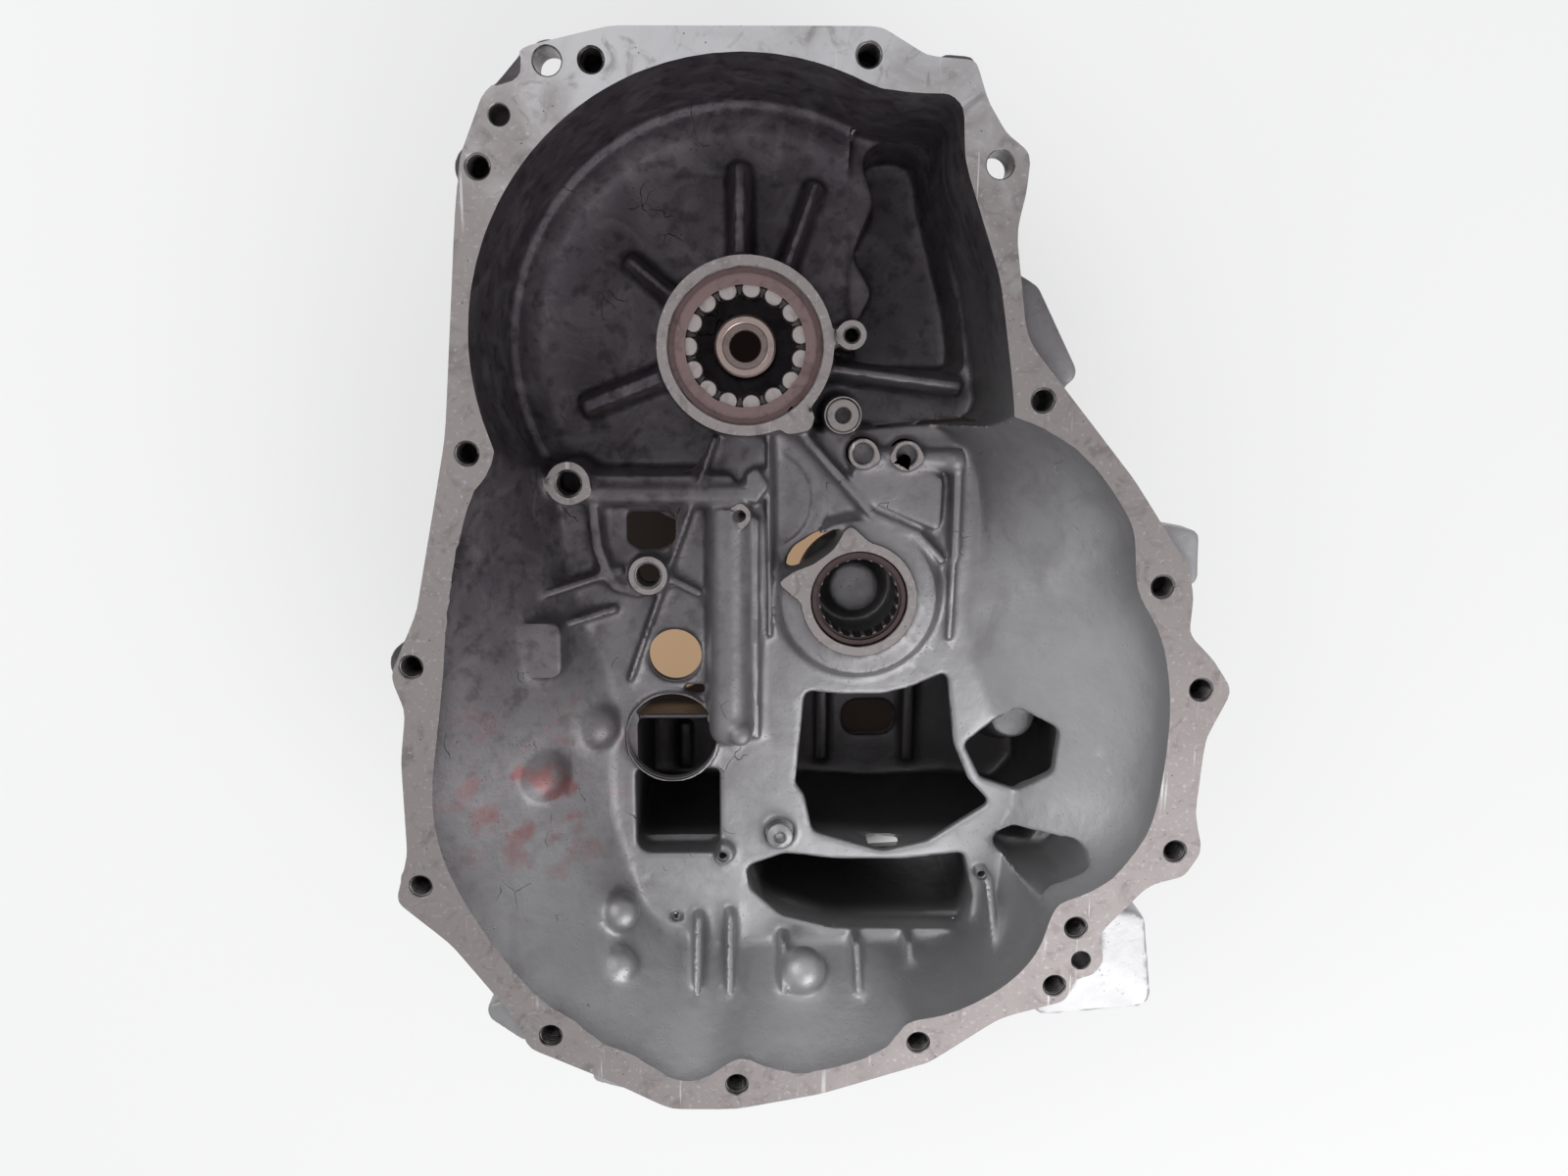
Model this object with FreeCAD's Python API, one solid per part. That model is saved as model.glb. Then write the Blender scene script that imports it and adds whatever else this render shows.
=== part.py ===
import FreeCAD, Part
import math
import os
from FreeCAD import Vector

# Gearbox housing: the open half of a transaxle case with its bearings.
# Millimetres.  The origin is the main bearing axis on the main boss face,
# +Z leaves the open side, +X and +Y lie in the mating flange plane.

# ---------------------------------------------------------------- levels
FLANGE_Z = 50.0           # mating face of the flange
FLANGE_THICK = 15.0
BOSS_Z = 0.0              # machined faces of the bearing bosses
WEB_Z = -15.0             # floor of the lower chamber
BOWL_BACK_Z = -46.0       # back wall of the upper bowl
POCKET_Z = -86.0          # bottom of the deep pocket beside the bowl
REAR_WALL_Z = -120.0      # inner face of the rear wall
REST_Z = -130.0           # rear rim, the face the case stands on
WALL = 6.0                # general wall thickness

# ---------------------------------------------------------------- bowl
BOWL_R = 130.0            # bowl radius at the flange
LEDGE_R = 124.0           # machined ledge low in the bowl wall
LEDGE_Z = -30.0
REAR_RING_R = 104.0       # outside of the round skirt behind the bowl

# ---------------------------------------------------------------- main bearing
MAIN_OD = 80.0
MAIN_WIDTH = 19.0
ROLLER_COUNT = 15
ROLLER_R = 4.875
ROLLER_LENGTH = 12.4
INNER_ENVELOPE_R = 24.75  # radius of the shaft the rollers run on
RUNNING = 0.05            # radial running clearance of rolling parts
MAIN_SEAT_Z = -3.4        # upper face of the outer ring
RING_LIP_R = 31.3
ROLLER_PHASE = 84.1       # angle of the first roller
SNAP_REACH = 1.6          # depth of the snap ring groove
MAIN_BOSS_R = 46.0

ROLLER_PITCH_R = INNER_ENVELOPE_R + RUNNING + ROLLER_R
RACEWAY_R = ROLLER_PITCH_R + ROLLER_R + RUNNING

# ---------------------------------------------------------------- support tube
TUBE_R = 15.9
TUBE_BORE_R = 11.6
BUSH_BORE_R = 8.0
TUBE_BOTTOM_Z = -96.0
TUBE_TOP_Z = 0.5
BUSH_LENGTH = 14.0

# ---------------------------------------------------------------- needle bearing
NEEDLE_AXIS = (61.0, -133.0)
NEEDLE_COUNT = 21
NEEDLE_R = 1.75
SHELL_R = 26.0
SHELL_WALL = 1.6
SHELL_WIDTH = 18.0
SHELL_EDGE = 1.2          # thickness of the turned-in edges
SHELL_LIP_R = 22.9
SHELL_TOP_Z = -2.0
NEEDLE_RUNNING = 0.04
NEEDLE_LENGTH = 13.0
HUB_FACE_Z = -37.0
DISC_AXIS = (9.0, -81.0)  # stepped dish beside the needle bearing
DISC_R = 36.0

NEEDLE_RACE_R = SHELL_R - SHELL_WALL
NEEDLE_PITCH_R = NEEDLE_RACE_R - NEEDLE_RUNNING - NEEDLE_R

# ---------------------------------------------------------------- transfer sleeve
SLEEVE_AXIS = (51.0, -35.0)
SLEEVE_R = 8.5
SLEEVE_BORE_R = 4.0
SLEEVE_DEPTH = 10.0
SLEEVE_STAND = 0.6        # height of the sleeve above its boss

# ---------------------------------------------------------------- bolt pattern
THREAD_R = 5.1            # tapping size of the flange threads
THREAD_DEPTH = 34.0
CLEAR_R = 6.4
DOWEL_R = 4.75            # plain holes for 9.5 mm dowels
BOLT_BOSS_R = 12.0
VALVE_THREAD_R = 6.3      # threads of the two valve plate bosses
SMALL_THREAD_R = 3.4      # threads of the column and bowl bosses and the rear ring
OIL_PORT_R = 5.4
FLOOR_SCREW_R = 2.2

THREADED = [
    (-69.3, 125.7), (-122.4, 79.2), (56.9, 129.2), (143.7, -25.9),
    (207.3, -116.9), (230.1, -169.7), (222.3, -256.1), (172.8, -298.1),
    (163.0, -330.8), (91.7, -362.9), (-4.6, -386.4), (-102.4, -356.9),
    (-166.2, -272.9), (-165.1, -157.3), (-133.1, -52.1),
]
CLEARANCE = [(-89.2, 125.1), (118.8, 82.1)]
DOWELS = [(-111.7, 101.8), (176.3, -316.4)]

# Outside edge of the flange, clockwise: x, y, corner radius.
FLANGE_EDGE = [
    (-119, 110, 6), (-100, 131, 14), (-60, 140.5, 40), (62, 141.5, 14),
    (84, 129, 14), (106, 127.5, 5), (112, 110, 14), (121, 96, 12),
    (133, 87, 8), (131.5, 70, 14), (127.5, 52, 30), (134.5, 3, 30),
    (190, -64, 80), (219.5, -107, 20), (223, -122, 8), (222, -141, 10),
    (235, -154, 14), (246, -170, 9), (234, -196, 25), (231.5, -236, 30),
    (236.5, -256, 10), (228, -270, 8), (210, -274.5, 20), (184, -303, 10),
    (189, -316, 8), (184, -324.5, 7), (172, -328, 6), (170, -339.5, 7),
    (135, -349, 40), (98, -374.5, 16), (40, -392.5, 80), (-6, -401, 20),
    (-40, -400.5, 24), (-72, -383.5, 30), (-114, -364, 10), (-120, -348, 14),
    (-152, -305, 40), (-179, -281, 7), (-172, -256, 16), (-172.5, -205, 60),
    (-169, -180, 20), (-175.5, -162, 12), (-161, -130, 30), (-143, -45, 120),
    (-133.5, 60, 90), (-130, 84, 20),
]

# Inside edge of the flange round the lower chamber, clockwise from the right
# end of the bowl: x, y, run of the wall towards the middle by floor level,
# and the bell exponent of that run (1 = straight slope, more = steeper start).
CHAMBER_EDGE = [
    (131, -34, 22, 1.2), (150, -41.5, 40, 1.4), (169, -56, 60, 1.6),
    (184, -75.5, 74, 1.8), (192, -93, 79, 1.9), (195, -118, 80, 1.9),
    (206, -138, 84, 1.9), (213.5, -165, 86, 1.9), (215, -195, 80, 1.9),
    (211.5, -232, 70, 1.8), (204, -253.5, 58, 1.6), (192, -270, 46, 1.4),
    (176, -280.5, 34, 1.2), (162, -287.5, 22, 1.1), (155, -308, 12, 1.0),
    (140, -328, 9, 1.0), (121.5, -340.5, 9, 1.0), (102, -348.5, 13, 1.0),
    (86, -352, 16, 1.0), (77, -364, 29, 1.0), (57, -375.5, 39, 1.0),
    (30, -381.5, 45, 1.0), (11, -377.5, 42, 1.0), (-3, -372, 36, 1.0),
    (-17, -380.5, 44, 1.0), (-31, -385.5, 50, 1.0), (-46, -380, 46, 1.0),
    (-62, -369, 44, 1.0), (-76, -363, 46, 1.0), (-92, -349.5, 50, 1.0),
    (-110, -335.5, 62, 1.0), (-133, -305, 72, 1.0), (-152, -270, 84, 1.0),
    (-159.5, -243, 88, 1.0), (-159.5, -215, 88, 1.0), (-153, -173, 78, 1.0),
    (-149, -140, 66, 1.0), (-143, -105, 54, 1.0), (-133, -73, 40, 1.0),
    (-122, -57, 24, 1.0), (-108, -38, 12, 1.0), (-40, -22, 6, 1.0),
    (60, -22, 6, 1.0),
]
CHAMBER_MIDDLE = (40.0, -190.0)

# Inside edge of the bowl on its pocket side, clockwise: x, y, corner radius.
BOWL_SIDE = [
    (54, 118.5, 3), (61, 115, 20), (80, 113, 20), (101, 113, 14), (102, 84, 40),
    (121, 30, 90), (127.5, -12, 40), (131, -40, 10), (54, -46, 3),
]

# Rear box behind the lower chamber: x, y at the web, x, y at the rear.
REAR_BOX = [
    (-70, -192, -66, -226), (-14, -192, -16, -226), (-2, -178, 2, -184),
    (118, -172, 114, -180), (158, -186, 148, -194), (190, -206, 178, -212),
    (196, -272, 180, -264), (182, -298, 166, -286), (140, -334, 138, -328),
    (60, -339, 60, -334), (-8, -330, -6, -324), (-22, -290, -22, -278),
    (-70, -290, -66, -278),
]
REAR_ROOM = [
    (-64, -197, -61, -230), (-18, -197, -20, -230), (-6, -184, -3, -190),
    (115, -178, 110, -186), (156, -192, 145, -200), (184, -210, 172, -216),
    (186, -264, 174, -260), (172, -288, 160, -276), (136, -283, 128, -271),
    (80, -283.5, 78, -273), (38, -279, 38, -270.5), (-16, -284, -18, -272),
    (-64, -285, -61, -271),
]
SUMP_ROOM = [
    (0, -292, 2, -282), (22, -284.5, 22, -276), (125, -285, 126, -277),
    (132, -312, 130, -306), (127, -331.5, 124, -322), (50, -331, 50, -327),
    (8, -316, 9, -312),
]

# Windows in the web: x, y, corner radius.
WINDOWS = [
    [(-62, -233, 3), (-15, -233, 2), (-15, -283, 4), (-62, -283, 8)],
    [(33, -188, 4), (54, -190, 20), (76, -190, 20), (92, -186, 12), (112, -177, 3),
     (117, -219, 12), (126, -240, 8), (139, -254, 3), (104, -277, 12), (78, -283, 12),
     (38, -271, 6), (33, -249, 5), (28, -242, 3)],
    [(0, -292, 5), (22, -284, 8), (50, -287.5, 20), (90, -288, 20), (125, -284, 4),
     (131, -312, 12), (127, -331, 5), (50, -330, 20), (20, -322, 14), (2, -305, 9)],
    [(123, -219, 3), (151, -196, 4), (172, -205, 4), (170, -231, 7), (153, -246, 4),
     (133, -239, 5)],
    [(139, -277, 6), (151, -265, 9), (184, -262, 5), (182, -277, 7), (173, -287, 7),
     (152, -288, 8)],
    [(-60, -196, 2), (-22, -196, 2), (-22, -231, 2), (-60, -231, 2)],
    [(-34, -184, 1), (-22, -184, 1), (-22, -189.5, 1), (-34, -189.5, 1)],
    [(-64, -87, 3), (-38, -87, 3), (-38, -104, 4), (-46, -108, 3), (-58, -108, 3), (-64, -104, 4)],
    [(19, -120, 2), (26, -107, 10), (38, -99, 12), (54, -94, 2), (47, -106, 14), (36, -114, 12)],
]


# ---------------------------------------------------------------- helpers
def cylinder(x, y, radius, low, high):
    """Upright cylinder between two levels."""
    return Part.makeCylinder(radius, high - low, Vector(x, y, low))


def cone(x, y, low_radius, high_radius, low, high):
    """Upright cone frustum between two levels."""
    return Part.makeCone(low_radius, high_radius, high - low, Vector(x, y, low))


def tube(x, y, inner, outer, low, high):
    """Upright hollow cylinder."""
    return cylinder(x, y, outer, low, high).cut(cylinder(x, y, inner, low - 1, high + 1))


def ball(x, y, z, radius):
    """Sphere about a point."""
    return Part.makeSphere(radius, Vector(x, y, z))


def rounded_wire(corners, level):
    """Closed wire of straight edges and corner arcs through x, y, radius rows."""
    count = len(corners)
    points = [Vector(row[0], row[1], level) for row in corners]
    starts = []
    middles = []
    ends = []
    for index in range(count):
        here = points[index]
        before = points[index - 1] - here
        after = points[(index + 1) % count] - here
        half = before.getAngle(after) / 2.0
        reach = corners[index][2] / math.tan(half)
        reach = min(reach, 0.47 * before.Length, 0.47 * after.Length)
        radius = reach * math.tan(half)
        before.normalize()
        after.normalize()
        inward = before + after
        inward.normalize()
        starts.append(here + before * reach)
        ends.append(here + after * reach)
        middles.append(here + inward * (radius / math.sin(half) - radius))
    edges = []
    for index in range(count):
        edges.append(Part.Arc(starts[index], middles[index], ends[index]).toShape())
        edges.append(Part.makeLine(ends[index], starts[(index + 1) % count]))
    return Part.Wire(edges)


def prism(corners, low, high):
    """Straight prism over a rounded outline."""
    face = Part.Face(rounded_wire(corners, low))
    return face.extrude(Vector(0, 0, high - low))


def drafted(corners, low, high, draft):
    """Prism that narrows towards its low end by draft millimetres all round."""
    middle_x = sum(row[0] for row in corners) / len(corners)
    middle_y = sum(row[1] for row in corners) / len(corners)
    narrow = []
    for x, y, radius in corners:
        away = math.hypot(x - middle_x, y - middle_y)
        share = 1.0 - draft / away
        narrow.append((middle_x + (x - middle_x) * share, middle_y + (y - middle_y) * share, radius))
    return Part.makeLoft([rounded_wire(narrow, low), rounded_wire(corners, high)], True, True)


def leaning(rows, low, high):
    """Solid between two matching outlines given as x, y high, x, y low."""
    top = [Vector(row[0], row[1], high) for row in rows]
    bottom = [Vector(row[2], row[3], low) for row in rows]
    outlines = [Part.makePolygon(loop + loop[:1]) for loop in (bottom, top)]
    return Part.makeLoft(outlines, True, True)


def rib(start, end, thick, base, start_top, end_top, spread=2.5):
    """Drafted rib from start to end whose crest runs between two levels."""
    along = Vector(end[0] - start[0], end[1] - start[1], 0)
    along.normalize()
    side = Vector(-along.y, along.x, 0)

    def outline(half, extra, level_start, level_end):
        first = Vector(start[0], start[1], level_start) - along * extra
        last = Vector(end[0], end[1], level_end) + along * extra
        loop = [first - side * half, last - side * half, last + side * half, first + side * half]
        return Part.makePolygon(loop + loop[:1])

    low = outline(thick / 2.0 + spread, spread, base, base)
    high = outline(thick / 2.0, 0.0, start_top, end_top)
    return Part.makeLoft([low, high], True, True)


def radial_block(x, y, angle, half_width, half_reach, low, high):
    """Upright block about x, y with its long side along a direction in degrees."""
    block = Part.makeBox(2 * half_reach, 2 * half_width, high - low, Vector(-half_reach, -half_width, low))
    block.rotate(Vector(0, 0, 0), Vector(0, 0, 1), angle)
    block.translate(Vector(x, y, 0))
    return block


def ring_of(profile, axis_x=0.0, axis_y=0.0):
    """Solid of revolution of a radius, level profile about an upright axis."""
    points = [Vector(axis_x + radius, axis_y, level) for radius, level in profile]
    face = Part.Face(Part.makePolygon(points + points[:1]))
    return face.revolve(Vector(axis_x, axis_y, 0), Vector(0, 0, 1), 360)


def chamber_section(depth, level, swell):
    """Closed spline through the wall stations at a share of the depth."""
    middle = Vector(CHAMBER_MIDDLE[0], CHAMBER_MIDDLE[1], 0)
    row = []
    for x, y, run, bell in CHAMBER_EDGE:
        point = Vector(x, y, 0)
        inward = middle - point
        inward.normalize()
        row.append(point + inward * (run * depth ** bell))
    count = len(row)
    placed = []
    for index in range(count):
        travel = row[(index + 1) % count] - row[index - 1]
        travel.normalize()
        outward = Vector(-travel.y, travel.x, 0)
        placed.append(row[index] + outward * swell + Vector(0, 0, level))
    curve = Part.BSplineCurve()
    curve.interpolate(Points=placed, PeriodicFlag=True, Parameters=list(range(count + 1)))
    return Part.Wire([curve.toShape()])


def chamber_solid(swell, drop):
    """Lofted bell of the lower chamber, swollen and lowered for its outside."""
    height = FLANGE_Z - WEB_Z
    sections = []
    for share in (0.0, 0.3, 0.6, 0.8, 1.0):
        level = FLANGE_Z - share * (height + drop)
        sections.append(chamber_section(share, level, swell))
    return Part.makeLoft(sections, True, False)


def around(count, radius, phase=0.0):
    """Points on a circle about the main axis: x, y, angle in degrees."""
    places = []
    for index in range(count):
        angle = phase + 360.0 * index / count
        places.append((radius * math.cos(math.radians(angle)), radius * math.sin(math.radians(angle)), angle))
    return places


# ---------------------------------------------------------------- casting: outside
def bowl_outside():
    """Outer skin of the bowl with its pocket side."""
    skin = ring_of([
        (0, FLANGE_Z), (BOWL_R + WALL, FLANGE_Z), (LEDGE_R + WALL + 1, LEDGE_Z - 4),
        (110 + WALL, BOWL_BACK_Z - WALL), (0, BOWL_BACK_Z - WALL),
    ])
    keep = Part.makeBox(220, 240, 260, Vector(-150, -90, -200))
    side = [(x + (WALL if x > 50 else 0), y + (WALL if y > 60 else 0), r) for x, y, r in BOWL_SIDE]
    pocket = drafted(side, POCKET_Z - WALL, FLANGE_Z, 5.0)
    return [skin.common(keep), pocket]


def flange_and_bosses():
    """Flange plate, bolt bosses behind it and the lugs outside."""
    parts = [prism(FLANGE_EDGE, FLANGE_Z - FLANGE_THICK, FLANGE_Z)]
    for x, y in THREADED:
        parts.append(cylinder(x, y, BOLT_BOSS_R, FLANGE_Z - 46, FLANGE_Z - 5))
    for x, y in CLEARANCE + DOWELS:
        parts.append(cylinder(x, y, BOLT_BOSS_R - 1, FLANGE_Z - 22, FLANGE_Z - 5))
    parts.append(prism([(178, -290, 3), (213, -296, 8), (220, -350, 8), (150, -356, 8)], 2, FLANGE_Z - 12))
    parts.append(cylinder(205, -322, 11, -12, FLANGE_Z - 16))
    side_lug = [(128, 36, 4), (141, 28, 6), (163, -14, 6), (150, -24, 4), (124, -4, 3)]
    parts.append(prism(side_lug, -10, FLANGE_Z - 8))
    parts.append(prism([(205, -86, 4), (227, -90, 5), (228, -118, 5), (205, -118, 4)], 24, FLANGE_Z - 8))
    parts.append(prism([(84, 124, 3), (92, 132, 3), (107, 131, 3), (106, 118, 3)], 26, FLANGE_Z - 7))
    low_lug = [(-118, -338, 4), (-138, -344, 5), (-136, -352, 4), (-112, -370, 4)]
    parts.append(prism(low_lug, 22, FLANGE_Z - 8))
    parts.append(prism([(-84, -372, 3), (-82, -389, 4), (-62, -395, 4), (-60, -378, 3)], 24, FLANGE_Z - 8))
    return parts


def outside_ribs():
    """Stiffening ribs between the flange and the skirts, outside the walls."""
    ribs = []
    for angle in (62, 92, 122, 152, 182):
        dx = math.cos(math.radians(angle))
        dy = math.sin(math.radians(angle))
        inner_end = (100 * dx, 100 * dy)
        outer_end = (132 * dx, 132 * dy)
        ribs.append(rib(inner_end, outer_end, 5, REAR_WALL_Z + 50, -40, FLANGE_Z - 12, 0.5))
    for x in (-40, 20, 80):
        ribs.append(rib((x, -330), (x, -378), 5, -60, -8, FLANGE_Z - 12, 0.5))
    for y in (-150, -210, -270):
        ribs.append(rib((-60, y), (-160, y), 5, -24, -10, FLANGE_Z - 12, 0.5))
    return ribs


# ---------------------------------------------------------------- casting: inside
def main_boss():
    """Boss of the main bearing with its tab and radiating ribs."""
    parts = [cylinder(0, 0, MAIN_BOSS_R, BOWL_BACK_Z - 22, BOSS_Z)]
    parts.append(prism([(20, -34, 4), (38, -32, 5), (34, -43, 4), (18, -46, 4)], BOWL_BACK_Z, BOSS_Z))
    spokes = [
        ((-3, 44), (-3, 93), 5.5, -7, -14), ((22, 42), (37, 84), 3.5, -10, -16),
        ((-36, 24), (-62, 45), 4.0, -8, -18), ((-40, -14), (-87, -32), 6.5, -6, -18),
        ((44, -11), (115, -20), 4.5, -9, -14),
    ]
    for start, end, thick, first, last in spokes:
        parts.append(rib(start, end, thick, BOWL_BACK_Z - 2, first, last, 4.0))
    return parts


def chamber_bosses():
    """Machined bosses, oil gallery and ribs standing on the web."""
    x, y = NEEDLE_AXIS
    parts = [cone(x, y, 47, 42, WEB_Z - 4, BOSS_Z - 3)]
    parts.append(cylinder(x, y, 31.0, WEB_Z - 4, BOSS_Z))
    crescent = [(17, -124, 2), (36, -111, 9), (56, -93, 2), (68, -104, 3), (32, -136, 3)]
    parts.append(prism(crescent, WEB_Z - 4, BOSS_Z))
    round_bosses = [
        (-93, -71, 11.5), (-52, -120, 10.5), (-3, -88, 6.0), (55, 6, 7.8),
        SLEEVE_AXIS + (10.0,), (62, -55, 8.0), (85, -56, 8.0),
    ]
    for boss_x, boss_y, radius in round_bosses:
        parts.append(cylinder(boss_x, boss_y, radius, BOWL_BACK_Z - 4, BOSS_Z))
    column = Part.makeCylinder(11.8, 122, Vector(-9, -206, -10), Vector(0, 1, 0))
    parts.append(column)
    parts.append(ball(-9, -206, -10, 11.8))
    parts.append(ball(-3, -208, -1, 7.0))
    parts.append(prism([(-20, -84, 3), (4, -84, 3), (4, -214, 3), (-21, -214, 3)], WEB_Z - 6, -10))
    parts.append(Part.makeCylinder(5.5, 84, Vector(-84, -77, -6), Vector(1, 0, 0)))
    parts.append(prism([(-88, -67, 3), (-6, -67, 3), (-6, -83, 3), (-88, -83, 3)], WEB_Z - 30, -6))
    parts.append(Part.makeCylinder(6.0, 58, Vector(58, -58, -7), Vector(1, 0, 0)))
    parts.append(ball(111, -59, -6, 6.5))
    port_deck = [(54, -64, 2), (100, -65, 3), (105, -69, 2), (104, -97, 2), (66, -81, 2)]
    parts.append(prism(port_deck, WEB_Z - 4, -3))
    parts.append(prism([(0, -66, 2), (6, -62, 2), (13, -72, 3), (6, -82, 2), (0, -80, 2)], WEB_Z - 4, -1))
    fences = [
        ((-16, -47), (-64, -181), 2.4, -2, -7), ((28, -43), (67, -87), 4.5, -4, -2),
        ((67, -87), (92, -98), 4.0, -2, -3), ((92, -98), (107, -114), 4.0, -3, -6),
        ((12, -40), (13, -156), 2.4, -4, -7), ((6, -90), (6, -214), 2.4, -5, -9),
        ((113, -62), (113, -112), 4.5, -3, -4), ((112, -112), (112, -158), 3.0, -4, -11),
        ((-81, -84), (-79, -106), 5.5, -3, -4), ((-79, -106), (-72, -126), 5.5, -4, -5),
        ((-72, -126), (-56, -131), 5.5, -5, -5), ((-40, -124), (-24, -132), 4.0, -8, -8),
        ((-108, -130), (-66, -118), 4.0, 6, -8), ((-110, -150), (-70, -140), 4.0, 6, -10),
    ]
    for start, end, thick, first, last in fences:
        parts.append(rib(start, end, thick, WEB_Z - 3, first, last, 1.2))
    return parts


def floor_features():
    """Window rims, screw bosses, wall ribs, domes and swellings."""
    parts = [
        cylinder(-13, -281, 6.5, WEB_Z - 3, -6), cylinder(19, -270, 8.0, WEB_Z - 3, -6),
        cylinder(134, -294, 4.2, WEB_Z - 3, -9),
        ball(-70, -310, 2, 11), ball(-71, -337, 12, 11), ball(32, -343, 8, 13),
    ]
    for x, low_y, high_y, first, last in (
            (-27, -352, -318, 22, -6), (-9, -352, -316, 22, -6), (21, -352, -330, 22, 0),
            (63, -352, -332, 20, -2), (93, -350, -332, 20, -2), (138, -336, -296, 30, -6)):
        parts.append(rib((x, low_y), (x, high_y), 4.0, WEB_Z - 4, first, last, 1.5))
    for x, y, z, radius in (
            (-143, -203, 14, 15), (-116, -228, 0, 20), (-128, -270, 0, 24), (-84, -206, -14, 14),
            (-110, -312, 0, 24)):
        parts.append(ball(x, y, z, radius))
    parts.append(prism([(-124, -142, 6), (-96, -142, 6), (-96, -172, 6), (-124, -172, 6)], -10, 18))
    parts.append(cone(154, -209, 24, 4, -70, -9))
    rear_marks = [((48, -196), (48, -262)), ((104, -196), (104, -262)), ((-40, -236), (-40, -266))]
    for start, end in rear_marks:
        parts.append(rib(start, end, 7, REAR_WALL_Z - 2, REAR_WALL_Z + 7, REAR_WALL_Z + 5, 2.0))
    return parts


def rear_features():
    """Hub, spokes and screw bosses seen from the rear side."""
    parts = [cone(0, 0, 22.5, 26, TUBE_BOTTOM_Z - 4, BOWL_BACK_Z - 20)]
    for dx, dy, angle in around(8, 1.0, 22.5)[1:]:  # the deep pocket takes the place of the first
        parts.append(rib((20 * dx, 20 * dy), (101 * dx, 101 * dy), 5, BOWL_BACK_Z - 3, -88, -74, 0.2))
    for x, y, angle in around(8, REAR_RING_R - 2, 10.0):
        parts.append(cylinder(x, y, 9.0, REST_Z, REST_Z + 40))
    parts.append(cone(NEEDLE_AXIS[0], NEEDLE_AXIS[1], 32, 35, HUB_FACE_Z - 22, WEB_Z))
    parts.append(cylinder(DISC_AXIS[0], DISC_AXIS[1], DISC_R + 4, WEB_Z - 13, WEB_Z - 2))
    return parts


def skin_and_rooms():
    """Outer solid of the whole casting and the rear rooms to cut from it."""
    bell = chamber_solid(WALL, WALL)
    bowl = bowl_outside()
    ring = cylinder(0, 0, REAR_RING_R, REST_Z, BOWL_BACK_Z)
    box = leaning(REAR_BOX, REST_Z, FLANGE_Z - FLANGE_THICK)
    ring_room = cylinder(0, 0, REAR_RING_R - WALL, REST_Z - 1, BOWL_BACK_Z - 3)
    for solid in bowl + [bell]:
        ring_room = ring_room.cut(solid)
    rooms = [ring_room]
    low_rooms = [leaning(REAR_ROOM, REAR_WALL_Z, 16.0), leaning(SUMP_ROOM, REST_Z - 1, 16.0)]
    for room in low_rooms:
        rooms.append(room.cut(bell))
    outer = [bell] + bowl + [ring, box] + flange_and_bosses() + outside_ribs()
    return outer, rooms


def bowl_space():
    """Everything hollow in the bowl: the turned bowl, the pocket side, the deep pocket."""
    turned = ring_of([
        (0, FLANGE_Z + 1), (BOWL_R, FLANGE_Z + 1), (BOWL_R, FLANGE_Z - 2), (LEDGE_R + 2.5, LEDGE_Z),
        (LEDGE_R - 1.5, LEDGE_Z), (LEDGE_R - 4, LEDGE_Z - 5), (112, BOWL_BACK_Z + 3),
        (98, BOWL_BACK_Z), (60, BOWL_BACK_Z + 3), (0, BOWL_BACK_Z + 3),
    ])
    reach = [
        (-140, -58, 2), (-104, -62, 2), (-88, -66, 2), (-6, -66, 2), (-6, -44, 2), (40, -44, 2),
        (60, -46, 2), (60, 140, 2), (-140, 140, 2),
    ]
    turned = turned.common(prism(reach, -90, FLANGE_Z + 2))
    side = drafted(BOWL_SIDE, BOWL_BACK_Z, FLANGE_Z + 1, 4.0)
    pocket = drafted([
        (60, 108, 10), (96, 108, 12), (101, 80, 20), (118, 20, 30), (122, -14, 6), (58, -14, 6),
        (62, 14, 8), (70, 30, 8), (58, 50, 10), (70, 78, 8)], POCKET_Z, BOWL_BACK_Z + 2, 3.0)
    return [turned, side, pocket]


def dish(radius, level):
    """One step of the dish, kept clear of the column and the needle collar."""
    room = cylinder(DISC_AXIS[0], DISC_AXIS[1], radius, level, 8)
    keep = prism([(15, -45, 1), (60, -45, 1), (60, -130, 1), (15, -130, 1)], level - 1, 9)
    return room.common(keep).cut(cylinder(NEEDLE_AXIS[0], NEEDLE_AXIS[1], 42, level - 2, 10))


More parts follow.
